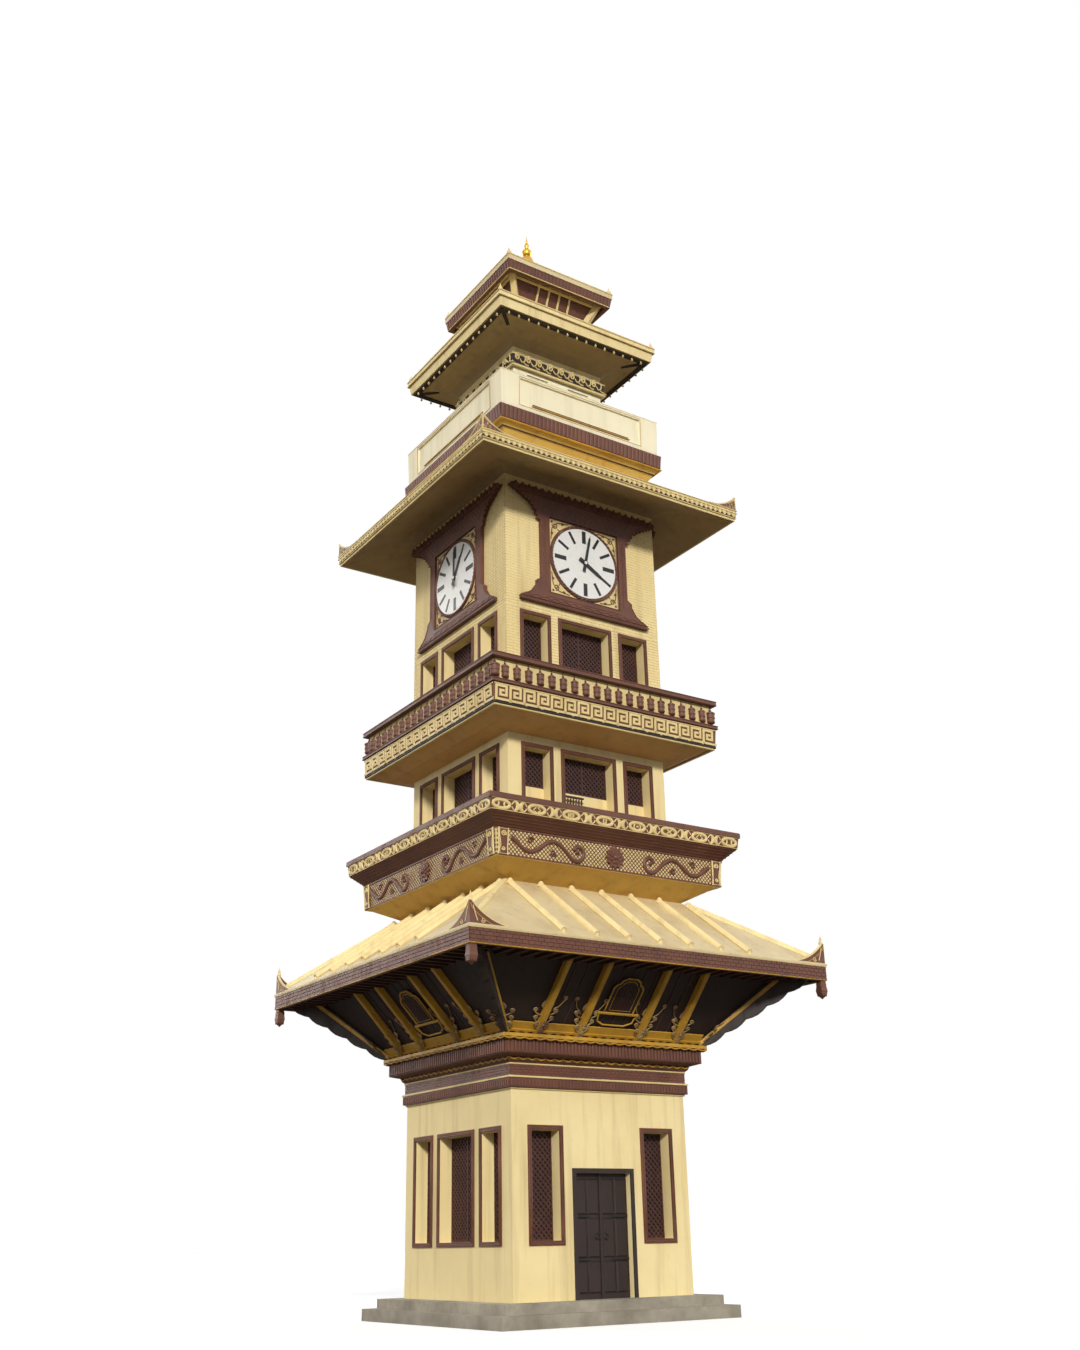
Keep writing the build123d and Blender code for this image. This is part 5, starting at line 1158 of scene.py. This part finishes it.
def terrace_dress():
    """Half-round ribs on the dark band, a fillet under it, and lines on the parapet."""
    ribs = centred_row(rail(0.05, 0.02, 0.41, -0.01, 0.03, 0.022), 41, 0.124)
    hang("terrace_band_ribs", MAROON, (2.527, 20.85, 2.567, 21.263), ribs, smooth=35)
    gold = [
        hung(rail(2.56, -0.02, 0.02, -0.05, 0.03, 0.01), 2.535, 20.838),
        hung(beaded_frame(-1.945, 1.945, 0.075, 0.915, 0.012, 1), 2.486, 21.362, 2.514, 22.351),
        hung(rail(1.56, 0, 0.03, -0.01, 0.05, 0.008), 2.468, 21.49),
    ]
    complete(joined(*gold), "terrace_gold_lines", MUSTARD)
    # Dark bars in the parapet's slot and under the band's ochre rim: painted shade
    dark = [
        hung(rail(1.53, 0, 0.055, -0.02, 0.006), 2.468, 21.52),
        hung(rail(2.44, 0, 0.02, -0.02, 0.006), 2.42, 20.7),
    ]
    complete(joined(*dark), "terrace_slot_painted_shade", TIMBER)
    hang("terrace_coping", PALE, (2.514, 22.33), rail(2.52, 0, 0.03, -0.16, 0.008, 0.008))


# Pavilion, lantern and top roof

LANTERN_FACE = (0.934, 25.42, 1.415, 26.51)


def fringe_dress():
    """Curling leaves in front of the dark beam, over a rounded moulding."""
    curls = [
        curl(0, 0.17, 0.014, 0.085, 200, -1.35, 0.02, sides=1),
        tube([(0.08, 0.14), (0.14, 0.06), (0.22, 0.08), (0.27, 0.16), (0.22, 0.24)], 0.018, smooth=True),
        tube([(0.22, 0.08), (0.29, 0.03), (0.36, 0.05)], 0.016, smooth=True),
    ]
    unit = centred_row(place(joined(*curls), scale(1, 1.35, 1.2)), 8, 0.36, 0.02, 0.014)
    fringe = [
        hung(moved(unit, -0.1), 1.486, 23.45, 1.52, 23.75),
        hung(roll(1.56, 0.045, 2), 1.5, 23.43),
        hung(roll(1.53, 0.022, 1), 1.53, 23.765),
        four_sides(moved(dome(0, 0, 0.06, 0.05), 1.52, -1.52, 23.45)),
    ]
    complete(joined(*fringe), "fringe_scrolls", TRIM, smooth=45)


def bells():
    """Small bells under the pavilion roof's edge, on a dark line, and beams under its hips."""
    profile = [
        (0.006, -0.14), (0.01, -0.108), (0.034, -0.108), (0.034, -0.1),
        (0.02, -0.07), (0.012, -0.035), (0.004, -0.03), (0.004, 0),
    ]
    bell_row = centred_row(turned_profile(profile, 8), 15, 0.31, -2.4, 24.335)
    complete(four_sides(bell_row), "roof_bells", TRIM, smooth=45)
    beam = bar(0.06, 1.22, -0.05, 0.05, -0.05, 0, 0.01)
    dark = [
        hung(rail(2.43, -0.035, 0.012, -0.13, 0), 2.42, 24.34),
        hung(rail(1.62, -0.03, 0, -0.06, 0), 1.62, 24.345),
        four_sides(place(beam, at(1.52, -1.52, 24.345) @ spun(-QUARTER / 2))),
    ]
    complete(joined(*dark), "roof_bell_line", TIMBER)


def pavilion_roof_dress():
    """Double lines on the edge, rolls on the hips and smooth corner points on both roofs."""
    lines = [
        four_sides(tube([(2.52, -2.52, 24.79), (0.95, -0.95, 25.42)], 0.035, sides=1)),
        hung(rail(2.56, 0, 0.03, -0.01, 0.014, 0.006), 2.552, 24.605),
        hung(rail(2.56, 0, 0.045, -0.01, 0.022, 0.01), 2.552, 24.735),
    ]
    complete(joined(*lines), "pavilion_roof_lines", TRIM)
    point = [(0.075, 0), (0.085, 0.03), (0.06, 0.06), (0.064, 0.09), (0.04, 0.13)]
    point += [(0.02, 0.19), (0.004, 0.24)]
    places = [at(half, -half, z) for half, z in ((2.48, 24.76), (1.694, 26.83))]
    points = four_sides(spread(turned_profile(point, 10), places))
    complete(points, "roof_corner_points", TRIM, replaces=["roof_tips"], smooth=45)


def lantern_dress():
    """Wide corner posts, four ribs a side, a sill and a head on the leaning lantern."""
    tall = slant(*LANTERN_FACE)
    places = (-0.52, -0.175, 0.175, 0.52)
    ribs = [bar(x - 0.028, x + 0.028, 0.02, tall - 0.01, 0, 0.045, 0.006) for x in places]
    rails = [rail(0.98, 0, 0.07, 0, 0.05, 0.008), rail(1.4, tall - 0.1, tall - 0.03, 0, 0.05, 0.008)]
    foot, head = Vector((0.96, -0.96, 25.42)), Vector((1.44, -1.44, 26.5))
    lean = (head - foot).to_track_quat("Z", "Y").to_matrix().to_4x4()
    post = place(rail(0.085, -0.085, 0.085, 0, (head - foot).length, 0.01), at(*foot) @ lean)
    complete(joined(hung(joined(*ribs, *rails), *LANTERN_FACE), four_sides(post)), "lantern_ribs", TRIM)
    spans = ((-0.8, -0.56), (-0.48, -0.215), (-0.135, 0.135), (0.215, 0.48), (0.56, 0.8))
    panels = [raised(x0, x1, 0.12, tall - 0.16, 0.014, 0.012) for x0, x1 in spans]
    hang("lantern_panels", MAROON, LANTERN_FACE, *panels)


def top_roof_dress():
    """Lines on the fascia, rolls down the hips and seams down the two slopes."""
    lines = [
        hung(rail(1.7, 0, 0.03, -0.01, 0.014, 0.006), 1.7, 26.37, 1.744, 26.66),
        hung(rail(1.77, 0, 0.04, -0.01, 0.014, 0.008), 1.766, 26.8),
    ]
    rolls = []
    slopes = (
        ((-1.2, -0.8, -0.4, 0, 0.4, 0.8, 1.2), 0.03, 0.06, (1.764, 26.843, 0.9, 27.3)),
        ((-0.6, -0.3, 0, 0.3, 0.6), 0, 0.05, (0.9, 27.3, 0.33, 28.05)),
    )
    for places, foot, margin, face in slopes:
        run, rise = face[0] - face[2], face[3] - face[1]
        clear = 0.9 if run > 0.6 else 0.34
        battens = []
        for x in places:
            length = (face[0] - max(abs(x) + margin, clear)) * hypot(run, rise) / run
            battens.append(bar(x - 0.015, x + 0.015, foot, length, 0, 0.02))
        rolls.append(hung(joined(*battens), *face))
    hip = tube([(1.74, -1.74, 26.86), (0.9, -0.9, 27.31), (0.33, -0.33, 28.06)], 0.035, sides=1)
    complete(joined(*rolls, four_sides(hip)), "top_roof_rolls", ROOF)
    complete(joined(*lines), "top_roof_lines", TRIM)
    ribs = centred_row(rail(0.03, 0.03, 0.27, -0.005, 0.02, 0.008), 29, 0.118)
    hang("top_fascia_ribs", MAROON, (1.7, 26.364, 1.744, 26.654), ribs)


def finial_turning():
    """A finely turned bell and spire."""
    outline = [
        (0.33, 0), (0.33, 0.05), (0.35, 0.06), (0.35, 0.08), (0.26, 0.11), (0.25, 0.14),
        (0.235, 0.24), (0.205, 0.38), (0.16, 0.5), (0.11, 0.56), (0.1, 0.58), (0.13, 0.62),
        (0.143, 0.68), (0.143, 0.74), (0.12, 0.79), (0.06, 0.84), (0.052, 0.87), (0.07, 0.91),
        (0.076, 0.96), (0.062, 1.01), (0.03, 1.06), (0.026, 1.1), (0.034, 1.13), (0.012, 1.2),
        (0.002, 1.348),
    ]
    finial = moved(turned_profile(outline, 28), z=28.05)
    complete(finial, "turned_finial", GILT, replaces=["finial"], smooth=40)


lattices = in_windows(window_lattice, LATTICE_DEPTH)
complete(lattices, "window_lattices", LATH, replaces=["lattice_panels"])
# Dark boards behind the lattices: painted shade in place of the dark rooms
complete(in_windows(window_shade_board, LATTICE_DEPTH), "window_shade_boards", TIMBER)
window_beads()
window_pickets()
door_dress()
cornice_dress()
skirt_fascia_dress()
corner_horn_dress()
pendant_dress()
strut_dress()
strut_vines()
strut_arches()
strut_panel_dress()
skirt_roof_dress()
lattice_band_dress()
band_creepers()
band_brackets()
flared_board_dress()
carved_band_dress()
meander_dress()
prayer_wheel_row()
balcony_edges()
clock_storey_bricks()
rope_rings()
dial_corner_scrolls()
case_dress()
canopy_dress()
hour_bars()
for side, quarter in zip(TIMES, ALL_SIDES):
    hand_dress(side, quarter)
eave_edge()
eave_corner_leaves()
terrace_dress()
fringe_dress()
bells()
pavilion_roof_dress()
lantern_dress()
top_roof_dress()
finial_turning()


# Stage, light and camera


def stage_finish():
    """A floor that reads white to the camera outside the shadow, and bounces little light upwards."""
    f = Finish("pale_ground", (0.41, 0.39, 0.36), 0.9)
    f.shader.inputs["Emission Color"].default_value = (1, 1, 1, 1)
    seen = f.cover((0.8, 0.8, 0.8), 1, f.node("LightPath", {}, "Is Camera Ray"))
    f.shade("Base Color", f.tone)
    f.shade("Emission Strength", f.times(seen, 0.5))
    return f.material


deselect()
bpy.ops.mesh.primitive_plane_add(size=600, location=(0, 0, -0.002))
ground = bpy.context.object
ground.name = "ground_plane"
ground.data.materials.append(stage_finish())

world = bpy.data.worlds.new("studio")
bpy.context.scene.world = world
world.use_nodes = True
sky = world.node_tree
fill = sky.nodes["Background"]
fill.inputs["Color"].default_value = (0.93, 0.96, 1, 1)
fill.inputs["Strength"].default_value = 0.3
backdrop = new_node(sky, "Background", {"Color": (1, 1, 1, 1), "Strength": 1})
rays = sky.nodes.new("ShaderNodeLightPath").outputs
seen = new_node(sky, "Math", {0: rays["Is Camera Ray"], 1: rays["Is Glossy Ray"]}, operation="MAXIMUM")
seen = new_node(sky, "Math", {0: seen, 1: rays["Is Transmission Ray"]}, operation="MAXIMUM")
choice = new_node(sky, "MixShader", {0: seen, 1: fill.outputs["Background"], 2: backdrop})
sky.links.new(choice, sky.nodes["World Output"].inputs["Surface"])


def lamp(name, direction, strength, colour, angle):
    """A soft far lamp that shines along a direction."""
    data = bpy.data.lights.new(name, "SUN")
    data.energy = strength
    data.color = colour
    data.angle = radians(angle)
    obj = bpy.data.objects.new(name, data)
    obj.rotation_euler = Vector(direction).to_track_quat("-Z", "Y").to_euler()
    bpy.context.scene.collection.objects.link(obj)


lamp("key_light", (0.4, 0.75, -0.33), 2.85, (1, 0.965, 0.9), 7)
lamp("left_fill", (0.9, 0.2, -0.34), 0.5, (1, 0.96, 0.9), 30)
lamp("side_fill", (-0.9, 0.1, -0.3), 1.1, (1, 0.97, 0.93), 40)
lamp("rear_fill", (0.15, -0.9, -0.3), 1.3, (1, 0.98, 0.95), 40)

EYE = (-18.315, -27.862, 1.6)
YAW, PITCH, ROLL = radians(33.56), radians(22.22), radians(-1.16)
forward = Vector((sin(YAW) * cos(PITCH), cos(YAW) * cos(PITCH), sin(PITCH)))
level = Vector((cos(YAW), -sin(YAW), 0))
plumb = level.cross(forward)
right = level * cos(ROLL) + plumb * sin(ROLL)
upright = -level * sin(ROLL) + plumb * cos(ROLL)
camera_data = bpy.data.cameras.new("street_view")
camera_data.lens = 36.9
camera_data.clip_end = 500
camera = bpy.data.objects.new("street_view", camera_data)
stance = Matrix((right, upright, -forward)).transposed().to_4x4()
stance.translation = EYE
camera.matrix_world = stance
bpy.context.scene.collection.objects.link(camera)
bpy.context.scene.camera = camera
bpy.context.scene.view_settings.view_transform = "Standard"
